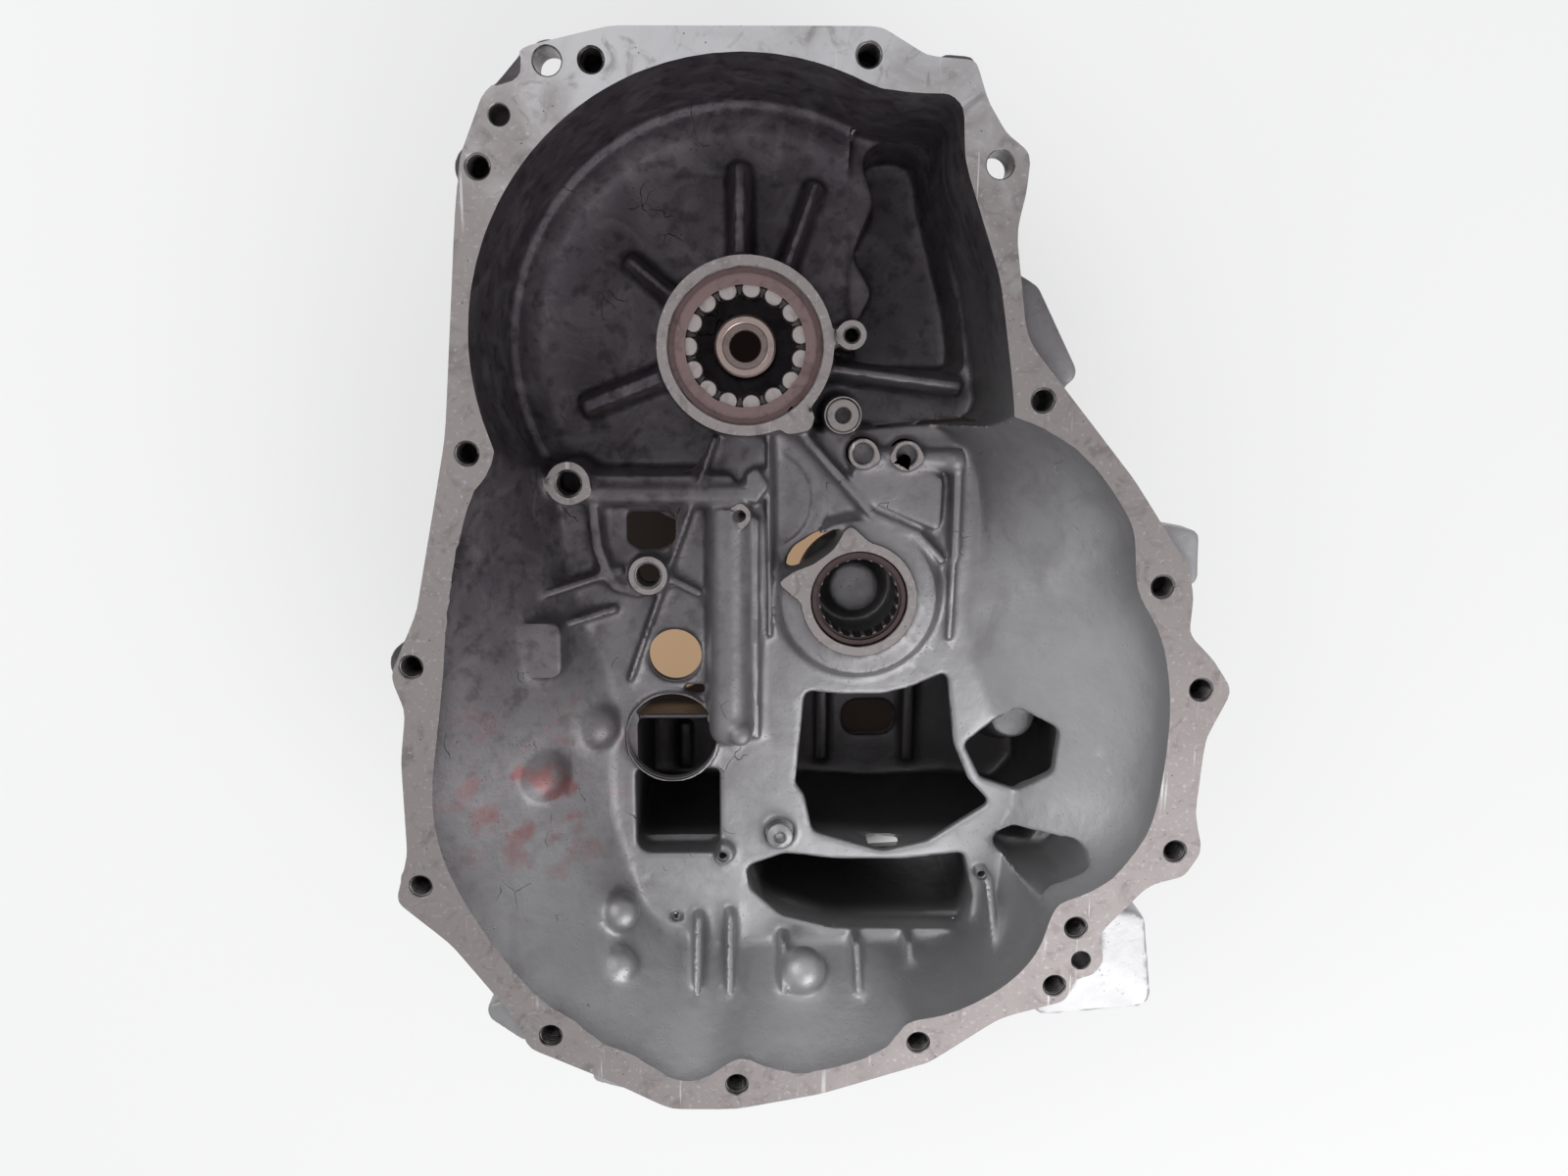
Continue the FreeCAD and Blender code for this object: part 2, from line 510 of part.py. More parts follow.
def small_holes():
    """Bores of the bosses, oil holes and the holes of the flange."""
    x, y = NEEDLE_AXIS
    cuts = [
        cylinder(0, 0, MAIN_OD / 2.0, MAIN_SEAT_Z - MAIN_WIDTH, BOSS_Z + 1),
        cylinder(0, 0, 33.0, -60, BOSS_Z), cylinder(0, 0, TUBE_R, -140, -50),
        tube(0, 0, 38, MAIN_OD / 2.0 + SNAP_REACH, MAIN_SEAT_Z, MAIN_SEAT_Z + 2.0),
        cylinder(x, y, SHELL_R, SHELL_TOP_Z - SHELL_WIDTH, BOSS_Z + 1),
        cylinder(x, y, SHELL_R - 1.5, HUB_FACE_Z - 16, BOSS_Z),
        dish(DISC_R, WEB_Z - 3), dish(DISC_R - 9, WEB_Z - 6),
    ]
    for hole_x, hole_y, radius, depth in (
            (-93, -71, VALVE_THREAD_R, 30), (-52, -120, VALVE_THREAD_R, 30),
            (-3, -88, SMALL_THREAD_R, 18), (55, 6, SMALL_THREAD_R, 30),
            SLEEVE_AXIS + (SLEEVE_R, SLEEVE_DEPTH), SLEEVE_AXIS + (SLEEVE_BORE_R, 34),
            (62, -55, OIL_PORT_R, 14), (85, -56, OIL_PORT_R, 34),
            (92, 79, 2.6, 30)):
        cuts.append(cylinder(hole_x, hole_y, radius, BOSS_Z - depth, BOSS_Z + 60))
    for hole_x, hole_y in ((-13, -281), (19, -270), (134, -294), (-40, -321)):
        cuts.append(cylinder(hole_x, hole_y, FLOOR_SCREW_R, WEB_Z - 12, 20))
    cuts.append(cylinder(-39, -167, 14.5, WEB_Z - 20, 10))
    for bolt_x, bolt_y in THREADED:
        cuts.append(cylinder(bolt_x, bolt_y, THREAD_R, FLANGE_Z - THREAD_DEPTH, FLANGE_Z + 1))
    for bolt_x, bolt_y in CLEARANCE:
        cuts.append(cylinder(bolt_x, bolt_y, CLEAR_R, -20, FLANGE_Z + 1))
    for bolt_x, bolt_y in DOWELS:
        cuts.append(cylinder(bolt_x, bolt_y, DOWEL_R, FLANGE_Z - 14, FLANGE_Z + 1))
    for hole_x, hole_y, angle in around(8, REAR_RING_R - 2, 10.0):
        cuts.append(cylinder(hole_x, hole_y, SMALL_THREAD_R, REST_Z - 1, REST_Z + 22))
    cuts.append(cylinder(205, -322, 4.2, -14, 10))
    slot = [(62, -223, 10), (96, -223, 10), (96, -246, 10), (62, -246, 10)]
    cuts.append(prism(slot, REST_Z - 2, REAR_WALL_Z + 1))
    recess = [(-117.5, 111, 2), (-101, 131, 2), (-99.5, 117, 3)]
    cuts.append(prism(recess, FLANGE_Z - 3, FLANGE_Z + 1))
    return cuts


def make_casting():
    """The complete one-piece casting."""
    outer, rooms = skin_and_rooms()
    body = outer[0].multiFuse(outer[1:])
    envelope = outer[0].multiFuse(outer[1:5])
    inner = [piece.common(envelope) for piece in main_boss() + chamber_bosses() + floor_features()]
    body = body.cut([chamber_solid(0.0, 0.0)] + bowl_space() + rooms)
    body = body.multiFuse(inner + rear_features())
    body = body.cut([prism(corners, -34, 34) for corners in WINDOWS] + small_holes())
    x, y = NEEDLE_AXIS
    hub = cone(x, y, 19.5, 14.0, HUB_FACE_Z - 18, HUB_FACE_Z)
    centre = cone(x, y, 1.2, 4.2, HUB_FACE_Z - 3, HUB_FACE_Z + 0.001)
    body = body.fuse(hub.cut(centre))
    return max(body.Solids, key=lambda solid: solid.Volume)


# ---------------------------------------------------------------- main bearing pieces
def make_main_ring():
    """Outer ring with a lip at each end of its raceway."""
    low = MAIN_SEAT_Z - MAIN_WIDTH
    lip = (MAIN_WIDTH - ROLLER_LENGTH - 0.2) / 2.0
    outside = MAIN_OD / 2.0
    return ring_of([
        (RING_LIP_R, low), (outside - 1, low), (outside, low + 1), (outside, MAIN_SEAT_Z - 1),
        (outside - 1, MAIN_SEAT_Z), (RING_LIP_R, MAIN_SEAT_Z), (RING_LIP_R, MAIN_SEAT_Z - lip),
        (RACEWAY_R, MAIN_SEAT_Z - lip), (RACEWAY_R, low + lip), (RING_LIP_R, low + lip),
    ])


def make_snap_ring():
    """Retaining ring in the groove over the outer ring, with its gap."""
    outside = MAIN_OD / 2.0 + SNAP_REACH
    ring = tube(0, 0, outside - 4.4, outside - 0.2, MAIN_SEAT_Z + 0.05, MAIN_SEAT_Z + 1.8)
    gap = prism([(20, -36, 0.5), (24, -30, 0.5), (31, -38, 0.5), (26, -44, 0.5)], -8, 2)
    return ring.cut(gap)


def make_main_cage():
    """Comb cage: a ring below the rollers with a prong between each pair."""
    low = MAIN_SEAT_Z - MAIN_WIDTH + 0.8
    comb = tube(0, 0, INNER_ENVELOPE_R + 1.8, RING_LIP_R - 0.4, low, MAIN_SEAT_Z - 3.9)
    pockets = []
    for x, y, angle in around(ROLLER_COUNT, ROLLER_PITCH_R, ROLLER_PHASE):
        pockets.append(radial_block(x, y, angle, ROLLER_R + 0.12, 8, roller_low() - 0.25, 0))
    return comb.cut(pockets)


def roller_low():
    """Level of the lower end of the rollers."""
    return MAIN_SEAT_Z - (MAIN_WIDTH + ROLLER_LENGTH) / 2.0


def make_roller(x, y):
    """One roller."""
    return cylinder(x, y, ROLLER_R, roller_low(), roller_low() + ROLLER_LENGTH)


# ---------------------------------------------------------------- tube and sleeve
def make_support_tube():
    """Ground tube in the middle of the main bearing."""
    return ring_of([
        (TUBE_BORE_R, TUBE_BOTTOM_Z), (TUBE_R - 1, TUBE_BOTTOM_Z), (TUBE_R, TUBE_BOTTOM_Z + 1),
        (TUBE_R, TUBE_TOP_Z - 1), (TUBE_R - 1, TUBE_TOP_Z), (TUBE_BORE_R + 0.6, TUBE_TOP_Z),
        (TUBE_BORE_R, TUBE_TOP_Z - 0.4),
    ])


def make_bush():
    """Thin pilot bush in the top of the tube."""
    return ring_of([
        (BUSH_BORE_R, -BUSH_LENGTH), (TUBE_BORE_R, -BUSH_LENGTH), (TUBE_BORE_R, 0),
        (TUBE_BORE_R - 0.3, 0.4), (BUSH_BORE_R + 0.4, 0.4), (BUSH_BORE_R, 0),
    ])


def make_sleeve():
    """Oil transfer sleeve standing in its boss."""
    return ring_of([
        (SLEEVE_BORE_R, -SLEEVE_DEPTH), (SLEEVE_R, -SLEEVE_DEPTH), (SLEEVE_R, SLEEVE_STAND - 0.4),
        (SLEEVE_R - 0.4, SLEEVE_STAND), (SLEEVE_BORE_R + 0.6, SLEEVE_STAND),
        (SLEEVE_BORE_R, SLEEVE_STAND - 0.6),
    ], SLEEVE_AXIS[0], SLEEVE_AXIS[1])


# ---------------------------------------------------------------- needle bearing pieces
def make_needle_shell():
    """Drawn cup with both edges turned in."""
    low = SHELL_TOP_Z - SHELL_WIDTH
    return ring_of([
        (SHELL_LIP_R, low), (SHELL_R - 0.8, low), (SHELL_R, low + 0.8), (SHELL_R, SHELL_TOP_Z - 0.8),
        (SHELL_R - 0.8, SHELL_TOP_Z), (SHELL_LIP_R, SHELL_TOP_Z), (SHELL_LIP_R, SHELL_TOP_Z - SHELL_EDGE),
        (NEEDLE_RACE_R, SHELL_TOP_Z - SHELL_EDGE), (NEEDLE_RACE_R, low + SHELL_EDGE),
        (SHELL_LIP_R, low + SHELL_EDGE),
    ], NEEDLE_AXIS[0], NEEDLE_AXIS[1])


def needle_places():
    """Needle axes: x, y, angle in degrees."""
    places = []
    for dx, dy, angle in around(NEEDLE_COUNT, NEEDLE_PITCH_R, 4.0):
        places.append((NEEDLE_AXIS[0] + dx, NEEDLE_AXIS[1] + dy, angle))
    return places


def make_needle_cage():
    """Window cage of the needle bearing."""
    x, y = NEEDLE_AXIS
    middle = SHELL_TOP_Z - SHELL_WIDTH / 2.0
    half = SHELL_WIDTH / 2.0 - SHELL_EDGE - 0.2
    cage = tube(x, y, NEEDLE_PITCH_R - 1.1, NEEDLE_RACE_R - 0.5, middle - half, middle + half)
    reach = NEEDLE_LENGTH / 2.0 + 0.2
    pockets = []
    half_width = NEEDLE_R + 0.08
    for place in needle_places():
        pockets.append(radial_block(*place, half_width, 3, middle - reach, middle + reach))
    return cage.cut(pockets)


def make_needle(x, y):
    """One needle."""
    middle = SHELL_TOP_Z - SHELL_WIDTH / 2.0
    return cylinder(x, y, NEEDLE_R, middle - NEEDLE_LENGTH / 2.0, middle + NEEDLE_LENGTH / 2.0)


# ---------------------------------------------------------------- export
def export(shape, name):
    """Write one solid under its own name."""
    shape.exportStep(os.path.join("parts", name + ".step"))


os.makedirs("parts", exist_ok=True)
export(make_casting(), "housing_casting")
export(make_main_ring(), "main_bearing_outer_ring")
export(make_snap_ring(), "main_bearing_snap_ring")
export(make_main_cage(), "main_bearing_cage")
for number, place in enumerate(around(ROLLER_COUNT, ROLLER_PITCH_R, ROLLER_PHASE)):
    export(make_roller(place[0], place[1]), "main_roller_%02d" % (number + 1))
export(make_support_tube(), "support_tube")
export(make_bush(), "support_tube_bush")
export(make_sleeve(), "transfer_sleeve")
export(make_needle_shell(), "needle_bearing_shell")
export(make_needle_cage(), "needle_bearing_cage")
for number, place in enumerate(needle_places()):
    export(make_needle(place[0], place[1]), "needle_%02d" % (number + 1))
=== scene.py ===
import logging
import math
from dataclasses import dataclass
from enum import Enum
from typing import Any

import bmesh
import bpy
import numpy as np
import openvdb
from mathutils import Matrix, Vector


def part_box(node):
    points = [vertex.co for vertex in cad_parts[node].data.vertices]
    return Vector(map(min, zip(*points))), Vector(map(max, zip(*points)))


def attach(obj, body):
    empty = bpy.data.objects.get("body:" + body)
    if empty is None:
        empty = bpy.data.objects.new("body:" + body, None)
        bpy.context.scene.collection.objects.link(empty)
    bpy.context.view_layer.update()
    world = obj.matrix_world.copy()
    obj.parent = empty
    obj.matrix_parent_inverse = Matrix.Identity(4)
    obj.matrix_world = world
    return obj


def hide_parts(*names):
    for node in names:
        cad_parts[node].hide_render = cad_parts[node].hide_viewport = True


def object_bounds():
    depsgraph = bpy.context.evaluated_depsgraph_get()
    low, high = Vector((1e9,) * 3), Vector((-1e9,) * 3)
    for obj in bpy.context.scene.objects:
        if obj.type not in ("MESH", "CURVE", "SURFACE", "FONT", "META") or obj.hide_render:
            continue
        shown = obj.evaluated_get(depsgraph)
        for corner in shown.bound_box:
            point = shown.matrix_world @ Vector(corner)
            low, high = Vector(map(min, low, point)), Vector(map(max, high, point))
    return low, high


# Looks of the gearbox housing: a rough cast body that is voxel-smoothed and then
# machined, its threads, its two bearings, the support tube and the transfer
# sleeve.  Sizes inside the classes are millimetres and meshes are metres.

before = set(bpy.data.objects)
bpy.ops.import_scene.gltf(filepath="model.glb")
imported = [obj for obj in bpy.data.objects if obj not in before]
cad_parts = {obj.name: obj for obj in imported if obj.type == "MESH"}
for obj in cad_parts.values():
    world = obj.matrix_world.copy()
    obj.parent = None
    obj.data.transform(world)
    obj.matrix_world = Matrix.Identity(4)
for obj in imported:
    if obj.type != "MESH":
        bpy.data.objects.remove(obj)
CAD_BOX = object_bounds()
CAD_BOX_LOW = Vector(CAD_BOX[0])
LOG = logging.getLogger("gearbox_housing")
MM = 0.001


class Slot(Enum):
    """Material slots of the record."""

    CAST = "cast_aluminium"
    BEARING = "bearing_steel"
    SPRING = "spring_steel"
    GROUND = "ground_steel"
    BUSH = "bush_bronze"
    ROLLER = "roller_steel"
    SHELL = "needle_shell_steel"
    NEEDLE_CAGE = "needle_cage_steel"
    NEEDLE = "needle_steel"
    CAGE = "dark_cage"


class Surface(Enum):
    """How a face of the casting was left."""

    AS_CAST = 0
    MILLED = 1
    BORED = 2


# ---------------------------------------------------------------- shader kit
class Value:
    """A shader socket that takes part in Python arithmetic."""

    def __init__(self, graph: "Graph", socket: bpy.types.NodeSocket) -> None:
        """Keeps the socket and the graph it belongs to."""
        self.graph = graph
        self.socket = socket

    def math(self, operation: str, *others: Any, clamp: bool = False) -> "Value":
        """Adds a Math node.

        Args:
            operation: Blender's name of the operation.
            others: The second and third operand.
            clamp: Whether the result is held between 0 and 1.

        Returns:
            The node's result.
        """
        inputs = dict(enumerate((self,) + others))
        settings = {"operation": operation, "use_clamp": clamp}
        return self.graph.take("ShaderNodeMath", settings, inputs)

    def __add__(self, other: Any) -> "Value":
        """Sum."""
        return self.math("ADD", other)

    def __radd__(self, other: Any) -> "Value":
        """Reflected sum."""
        return self.math("ADD", other)

    def __sub__(self, other: Any) -> "Value":
        """Difference."""
        return self.math("SUBTRACT", other)

    def __rsub__(self, other: float) -> "Value":
        """Reflected difference."""
        return self.graph.number("SUBTRACT", other, self)

    def __mul__(self, other: Any) -> "Value":
        """Product."""
        return self.math("MULTIPLY", other)

    def __rmul__(self, other: Any) -> "Value":
        """Reflected product."""
        return self.math("MULTIPLY", other)

    def __truediv__(self, other: Any) -> "Value":
        """Quotient."""
        return self.math("DIVIDE", other)

    def __pow__(self, other: Any) -> "Value":
        """Power."""
        return self.math("POWER", other)

    def clamp(self) -> "Value":
        """Holds the value between 0 and 1."""
        return self.math("ADD", 0.0, clamp=True)

    def step(self, low: float, high: float) -> "Value":
        """Smooth step from 0 at low to 1 at high."""
        settings = {"interpolation_type": "SMOOTHSTEP"}
        inputs = {"Value": self, "From Min": low, "From Max": high}
        return self.graph.take("ShaderNodeMapRange", settings, inputs)


class Graph:
    """The node tree of one material."""

    def __init__(self, name: str) -> None:
        """Starts a material with an empty tree, a shader and its output."""
        self.material = bpy.data.materials.new(name)
        self.material.use_nodes = True
        self.tree = self.material.node_tree
        self.tree.nodes.clear()
        self.output = self.tree.nodes.new("ShaderNodeOutputMaterial")
        self.shader = self.tree.nodes.new("ShaderNodeBsdfPrincipled")
        self.tree.links.new(self.shader.outputs[0], self.output.inputs[0])

    def feed(self, socket: bpy.types.NodeSocket, value: Any) -> None:
        """Links a Value or a socket, or writes a constant."""
        if isinstance(value, Value):
            self.tree.links.new(value.socket, socket)
        elif isinstance(value, bpy.types.NodeSocket):
            self.tree.links.new(value, socket)
        else:
            socket.default_value = value

    def node(self, kind: str, settings: dict | None = None, inputs: dict | None = None) -> bpy.types.Node:
        """Adds any node.

        Args:
            kind: Blender's type name.
            settings: Properties, set first.
            inputs: Values or links by socket name or index.

        Returns:
            The node.
        """
        made = self.tree.nodes.new(kind)
        for key, value in (settings or {}).items():
            setattr(made, key, value)
        for key, value in (inputs or {}).items():
            self.feed(made.inputs[key], value)
        return made

    def take(self, kind: str, settings: dict | None = None, inputs: dict | None = None, output: int | str = 0) -> Value:
        """Adds a node and returns one of its outputs."""
        return Value(self, self.node(kind, settings, inputs).outputs[output])

    def number(self, operation: str, first: Any, second: Any) -> Value:
        """Math node whose first operand may be a constant."""
        return self.take("ShaderNodeMath", {"operation": operation}, {0: first, 1: second})

    def place(self) -> Value:
        """Object coordinates, in metres."""
        return self.take("ShaderNodeTexCoord", output="Object")

    def axis(self, index: int) -> Value:
        """One component of the object coordinates."""
        return self.take("ShaderNodeSeparateXYZ", inputs={0: self.place()}, output=index)

    def stretch(self, scale: tuple[float, float, float], turn: tuple[float, float, float] = (0, 0, 0)) -> Value:
        """Object coordinates scaled and turned by a Mapping node."""
        inputs = {"Vector": self.place(), "Scale": scale, "Rotation": turn}
        return self.take("ShaderNodeMapping", inputs=inputs)

    def noise(self, scale: float, detail: float = 3.0, vector: Value | None = None, rough: float = 0.55,
              warp: float = 0.0) -> Value:
        """Noise texture factor on object coordinates, with the scale per metre."""
        inputs = {"Vector": vector or self.place(), "Scale": scale, "Detail": detail,
                  "Roughness": rough, "Distortion": warp}
        return self.take("ShaderNodeTexNoise", inputs=inputs)

    def cells(self, scale: float, feature: str = "F1", vector: Value | None = None) -> Value:
        """Distance of a Voronoi texture."""
        inputs = {"Vector": vector or self.place(), "Scale": scale}
        return self.take("ShaderNodeTexVoronoi", {"feature": feature}, inputs, "Distance")

    def mix(self, factor: Any, first: Any, second: Any, blend: str = "MIX") -> Value:
        """Mixes two colours."""
        made = self.node("ShaderNodeMix", {"data_type": "RGBA", "blend_type": blend})
        self.feed(made.inputs[0], factor)
        self.feed(made.inputs[6], first)
        self.feed(made.inputs[7], second)
        return Value(self, made.outputs[2])

    def bump(self, height: Value, strength: float, distance: float, under: Value | None = None) -> Value:
        """Bump normal, with the distance in metres."""
        inputs = {"Strength": strength, "Distance": distance, "Height": height}
        if under is not None:
            inputs["Normal"] = under
        return self.take("ShaderNodeBump", inputs=inputs)

    def near(self, centre: tuple[float, float, float], reach: float) -> Value:
        """Soft ball mask: 1 at a centre in metres, 0 from the reach on."""
        gap = self.node("ShaderNodeVectorMath", {"operation": "DISTANCE"}, {0: self.place(), 1: centre})
        return 1.0 - Value(self, gap.outputs["Value"]).step(0.0, reach)

    def ring_distance(self, x: float, y: float) -> Value:
        """Distance from an upright axis, in metres."""
        across = self.axis(0) - x
        along = self.axis(1) - y
        return (across * across + along * along) ** 0.5

    def dress(self, **inputs: Any) -> bpy.types.Material:
        """Feeds the shader's sockets, named with underscores, and returns the material."""
        for key, value in inputs.items():
            self.feed(self.shader.inputs[key.replace("_", " ")], value)
        return self.material


# ---------------------------------------------------------------- finishes
@dataclass(frozen=True)
class CastSkin:
    """Die-cast skin: darker in the upper bowl and bright towards the drain end, partly real oil stain and partly
    painted shade and painted highlight; with a painted red reflection on the left and painted shade inside the lower
    chamber.
    """

    # dark is partly oil stain and partly a painted reflection of dark surroundings; bright is partly a painted
    # highlight of the lamp.
    dark: tuple = (0.085, 0.073, 0.084, 1)
    middle: tuple = (0.27, 0.262, 0.268, 1)
    bright: tuple = (0.50, 0.495, 0.505, 1)
    oil: tuple = (0.022, 0.016, 0.019, 1)
    # Painted reflection: reddish tone of a red reflection on the left.
    painted_red_reflection: tuple = (0.26, 0.075, 0.075, 1)

    def material(self) -> bpy.types.Material:
        """Builds the material."""
        g = Graph("cast_skin")
        x, y, z = g.axis(0), g.axis(1), g.axis(2)
        cloud = g.noise(9.0, 4.0, warp=0.6)
        patch = g.noise(34.0, 5.0, warp=1.2)
        # Painted shade and painted highlight mixed with real oil stain: the skin is darker towards the upper left and
        # brighter towards the lower right.
        stain_and_painted_shade_slope = x * 2.3 - y * 2.9 + z * 0.6 + (cloud - 0.5) * 0.75
        light = stain_and_painted_shade_slope.step(-0.05, 0.62)
        lighter = stain_and_painted_shade_slope.step(0.42, 1.2)
        tone = g.mix(light, self.dark, self.middle)
        tone = g.mix(lighter, tone, self.bright)
        smear = (patch.step(0.42, 0.72) * 0.55 * (1.0 - lighter)).clamp()
        tone = g.mix(smear, tone, (0.19, 0.175, 0.18, 1))
        veins = g.cells(42.0, "DISTANCE_TO_EDGE", self.drift(g, 0.05, 30.0))
        crack = (1.0 - veins.step(0.0, 0.012)) * g.noise(30.0, 2.0).step(0.60, 0.66) * (1.0 - lighter)
        tone = g.mix(crack * 0.7, tone, self.oil)
        grime = (1.0 - g.noise(120.0, 4.0).step(0.30, 0.52)) * (1.0 - light) * 0.55
        tone = g.mix(grime, tone, self.oil)
        # Painted reflection: a red patch on the left, standing in for something red reflected in the metal.
        painted_red_reflection = g.noise(46.0, 3.0).step(0.52, 0.68) * g.near((-0.118, -0.235, 0.0), 0.085) * 0.75
        tone = g.mix(painted_red_reflection, tone, self.painted_red_reflection)
        rough = 0.34 + patch * 0.22 + (1.0 - light) * 0.10
        grain = g.noise(900.0, 3.0)
        peel = g.noise(150.0, 3.0)
        pits = (1.0 - g.cells(420.0).step(0.10, 0.20)) * g.noise(60.0).step(0.5, 0.6)
        # Painted shade: a box inside the lower chamber behind the web is darkened nearly to the oil colour, standing in
        # for the deep shade there.
        painted_chamber_shade = ((x.step(-0.064, -0.062) * (1.0 - x.step(0.186, 0.188))) * (1.0 - y.step(-0.184, -0.180))
                * y.step(-0.333, -0.331) * (1.0 - z.step(-0.05, -0.02)) * z.step(-0.123, -0.121))
        tone = g.mix(painted_chamber_shade * 0.85, tone, self.oil)
        cast = 1.0 - self.milled(g, z)
        tone = g.mix(1.0 - cast, tone, MilledFace().tone(g))
        normal = g.bump(grain * cast, 0.25, 0.0002)
        normal = g.bump(peel * cast, 0.35, 0.0008, normal)
        normal = g.bump((crack * -1.0 - pits * 0.8) * cast, 0.6, 0.0005, normal)
        return g.dress(Base_Color=tone, Metallic=0.72, Roughness=rough, Normal=normal)

    @staticmethod
    def milled(g: Graph, z: Value) -> Value:
        """Mask of the upward faces at the flange level and at the boss level."""
        upward = g.take("ShaderNodeNewGeometry", output="Normal")
        rise = g.take("ShaderNodeSeparateXYZ", inputs={0: upward}, output=2).step(0.98, 0.995)
        flange = z.step(0.04985, 0.04995)
        boss = z.step(-0.00015, -0.00005) * (1.0 - z.step(0.00005, 0.00015))
        return rise * (flange + boss)

    @staticmethod
    def drift(g: Graph, amount: float, scale: float) -> Value:
        """Object coordinates pushed about by a slow noise."""
        push = g.node("ShaderNodeTexNoise", None, {"Vector": g.place(), "Scale": scale, "Detail": 3.0})
        far = g.node("ShaderNodeVectorMath", {"operation": "SCALE"}, {0: push.outputs["Color"], "Scale": amount})
        return g.take("ShaderNodeVectorMath", {"operation": "ADD"}, {0: g.place(), 1: far.outputs[0]})


@dataclass(frozen=True)
class MilledFace:
    """Milled mating face: scratched, pitted and patchy where the sealant was scraped off, and painted paler towards the
    top as a painted reflection.
    """

    base: tuple = (0.30, 0.27, 0.265, 1)
    pale: tuple = (0.66, 0.66, 0.68, 1)
    stain: tuple = (0.14, 0.115, 0.115, 1)

    def tone(self, g: Graph) -> Value:
        """Colour of the face."""
        y = g.axis(1)
        cloud = g.noise(16.0, 5.0, warp=1.0)
        blot = g.noise(70.0, 5.0, warp=1.6)
        fine = g.noise(420.0, 4.0)
        # Painted reflection: the face turns paler towards +y, standing in for the bright reflection on the top of the
        # flange.
        painted_highlight_band = (y * 3.4 + (cloud - 0.5) * 0.8).step(0.16, 0.52)
        tone = g.mix(painted_highlight_band * 0.8, self.base, self.pale)
        tone = g.mix(blot.step(0.5, 0.74) * 0.5, tone, self.stain)
        tone = g.mix(fine.step(0.55, 0.75) * 0.35, tone, self.pale)
        marks = self.scratches(g, 0.7, 210.0) + self.scratches(g, 2.15, 160.0) + self.scratches(g, -0.4, 260.0)
        tone = g.mix((marks * 0.6).clamp(), tone, (0.70, 0.69, 0.70, 1))
        pits = (1.0 - g.cells(230.0).step(0.05, 0.11)) * g.noise(40.0).step(0.48, 0.56)
        return g.mix(pits, tone, (0.05, 0.042, 0.042, 1))

    @staticmethod
    def scratches(g: Graph, turn: float, scale: float) -> Value:
        """Thin broken lines in one direction."""
        lines = g.noise(scale, 2.0, g.stretch((1.0, 0.035, 1.0), (0, 0, turn)))
        broken = g.noise(24.0, 2.0, g.stretch((1.0, 1.0, 1.0), (0, 0, turn))).step(0.5, 0.62)
        return lines.step(0.665, 0.70) * broken


@dataclass(frozen=True)
class BoredWall:
    """Drilled or bored wall with fine feed rings and oil."""

    name: str = "bored_wall"
    base: tuple = (0.30, 0.28, 0.28, 1)
    oil: tuple = (0.045, 0.035, 0.034, 1)

    def material(self) -> bpy.types.Material:
        """Builds the material."""
        g = Graph(self.name)
        z = g.axis(2)
        feed = (z * 9000.0).math("SINE")
        tone = g.mix(g.noise(90.0, 4.0).step(0.4, 0.7), self.base, self.oil)
        normal = g.bump(feed, 0.18, 0.0001)
        return g.dress(Base_Color=tone, Metallic=0.8, Roughness=g.noise(200.0) * 0.25 + 0.2, Normal=normal)


@dataclass(frozen=True)
class TurnedSteel:
    """Ground or turned steel with fine rings about an upright axis."""

    name: str
    base: tuple
    stain: tuple
    axis: tuple = (0.0, 0.0)
    rough: float = 0.24
    stained: float = 0.35
    rings: float = 5200.0

    def material(self) -> bpy.types.Material:
        """Builds the material."""
        g = Graph(self.name)
        away = g.ring_distance(self.axis[0] * MM, self.axis[1] * MM)
        wobble = g.noise(60.0, 2.0) * 2.0
        rings = (away * self.rings + g.axis(2) * self.rings + wobble).math("SINE")
        blot = g.noise(130.0, 5.0, warp=0.8)
        tone = g.mix(blot.step(0.45, 0.72) * self.stained, self.base, self.stain)
        fine = g.noise(1600.0, 3.0)
        tone = g.mix(fine.step(0.5, 0.8) * 0.25, tone, self.stain)
        rough = blot * 0.22 + self.rough
        normal = g.bump(rings, 0.05, 0.00005)
        normal = g.bump(fine, 0.08, 0.00005, normal)
        return g.dress(Base_Color=tone, Metallic=1.0, Roughness=rough, Normal=normal)


# ---------------------------------------------------------------- mesh helpers
def solid_arrays(node: str) -> tuple[np.ndarray, np.ndarray]:
    """Corners in millimetres and triangles of a node of the frame.

    Args:
        node: The node's name.

    Returns:
        Corners as rows of x, y, z and triangles as rows of indices.
    """
    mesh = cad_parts[node].data
    corners = np.empty(len(mesh.vertices) * 3, np.float32)
    mesh.vertices.foreach_get("co", corners)
    mesh.calc_loop_triangles()
    triangles = np.empty(len(mesh.loop_triangles) * 3, np.int32)
    mesh.loop_triangles.foreach_get("vertices", triangles)
    return corners.reshape(-1, 3) / MM, triangles.reshape(-1, 3)


def link(name: str, mesh: bpy.types.Mesh) -> bpy.types.Object:
    """New object for a mesh."""
    made = bpy.data.objects.new(name, mesh)
    bpy.context.scene.collection.objects.link(made)
    return made


def baked(obj: bpy.types.Object, name: str) -> bpy.types.Mesh:
    """Plain mesh of an object with its modifiers applied."""
    view = bpy.context.evaluated_depsgraph_get()
    mesh = bpy.data.meshes.new_from_object(obj.evaluated_get(view))
    mesh.name = name
    return mesh


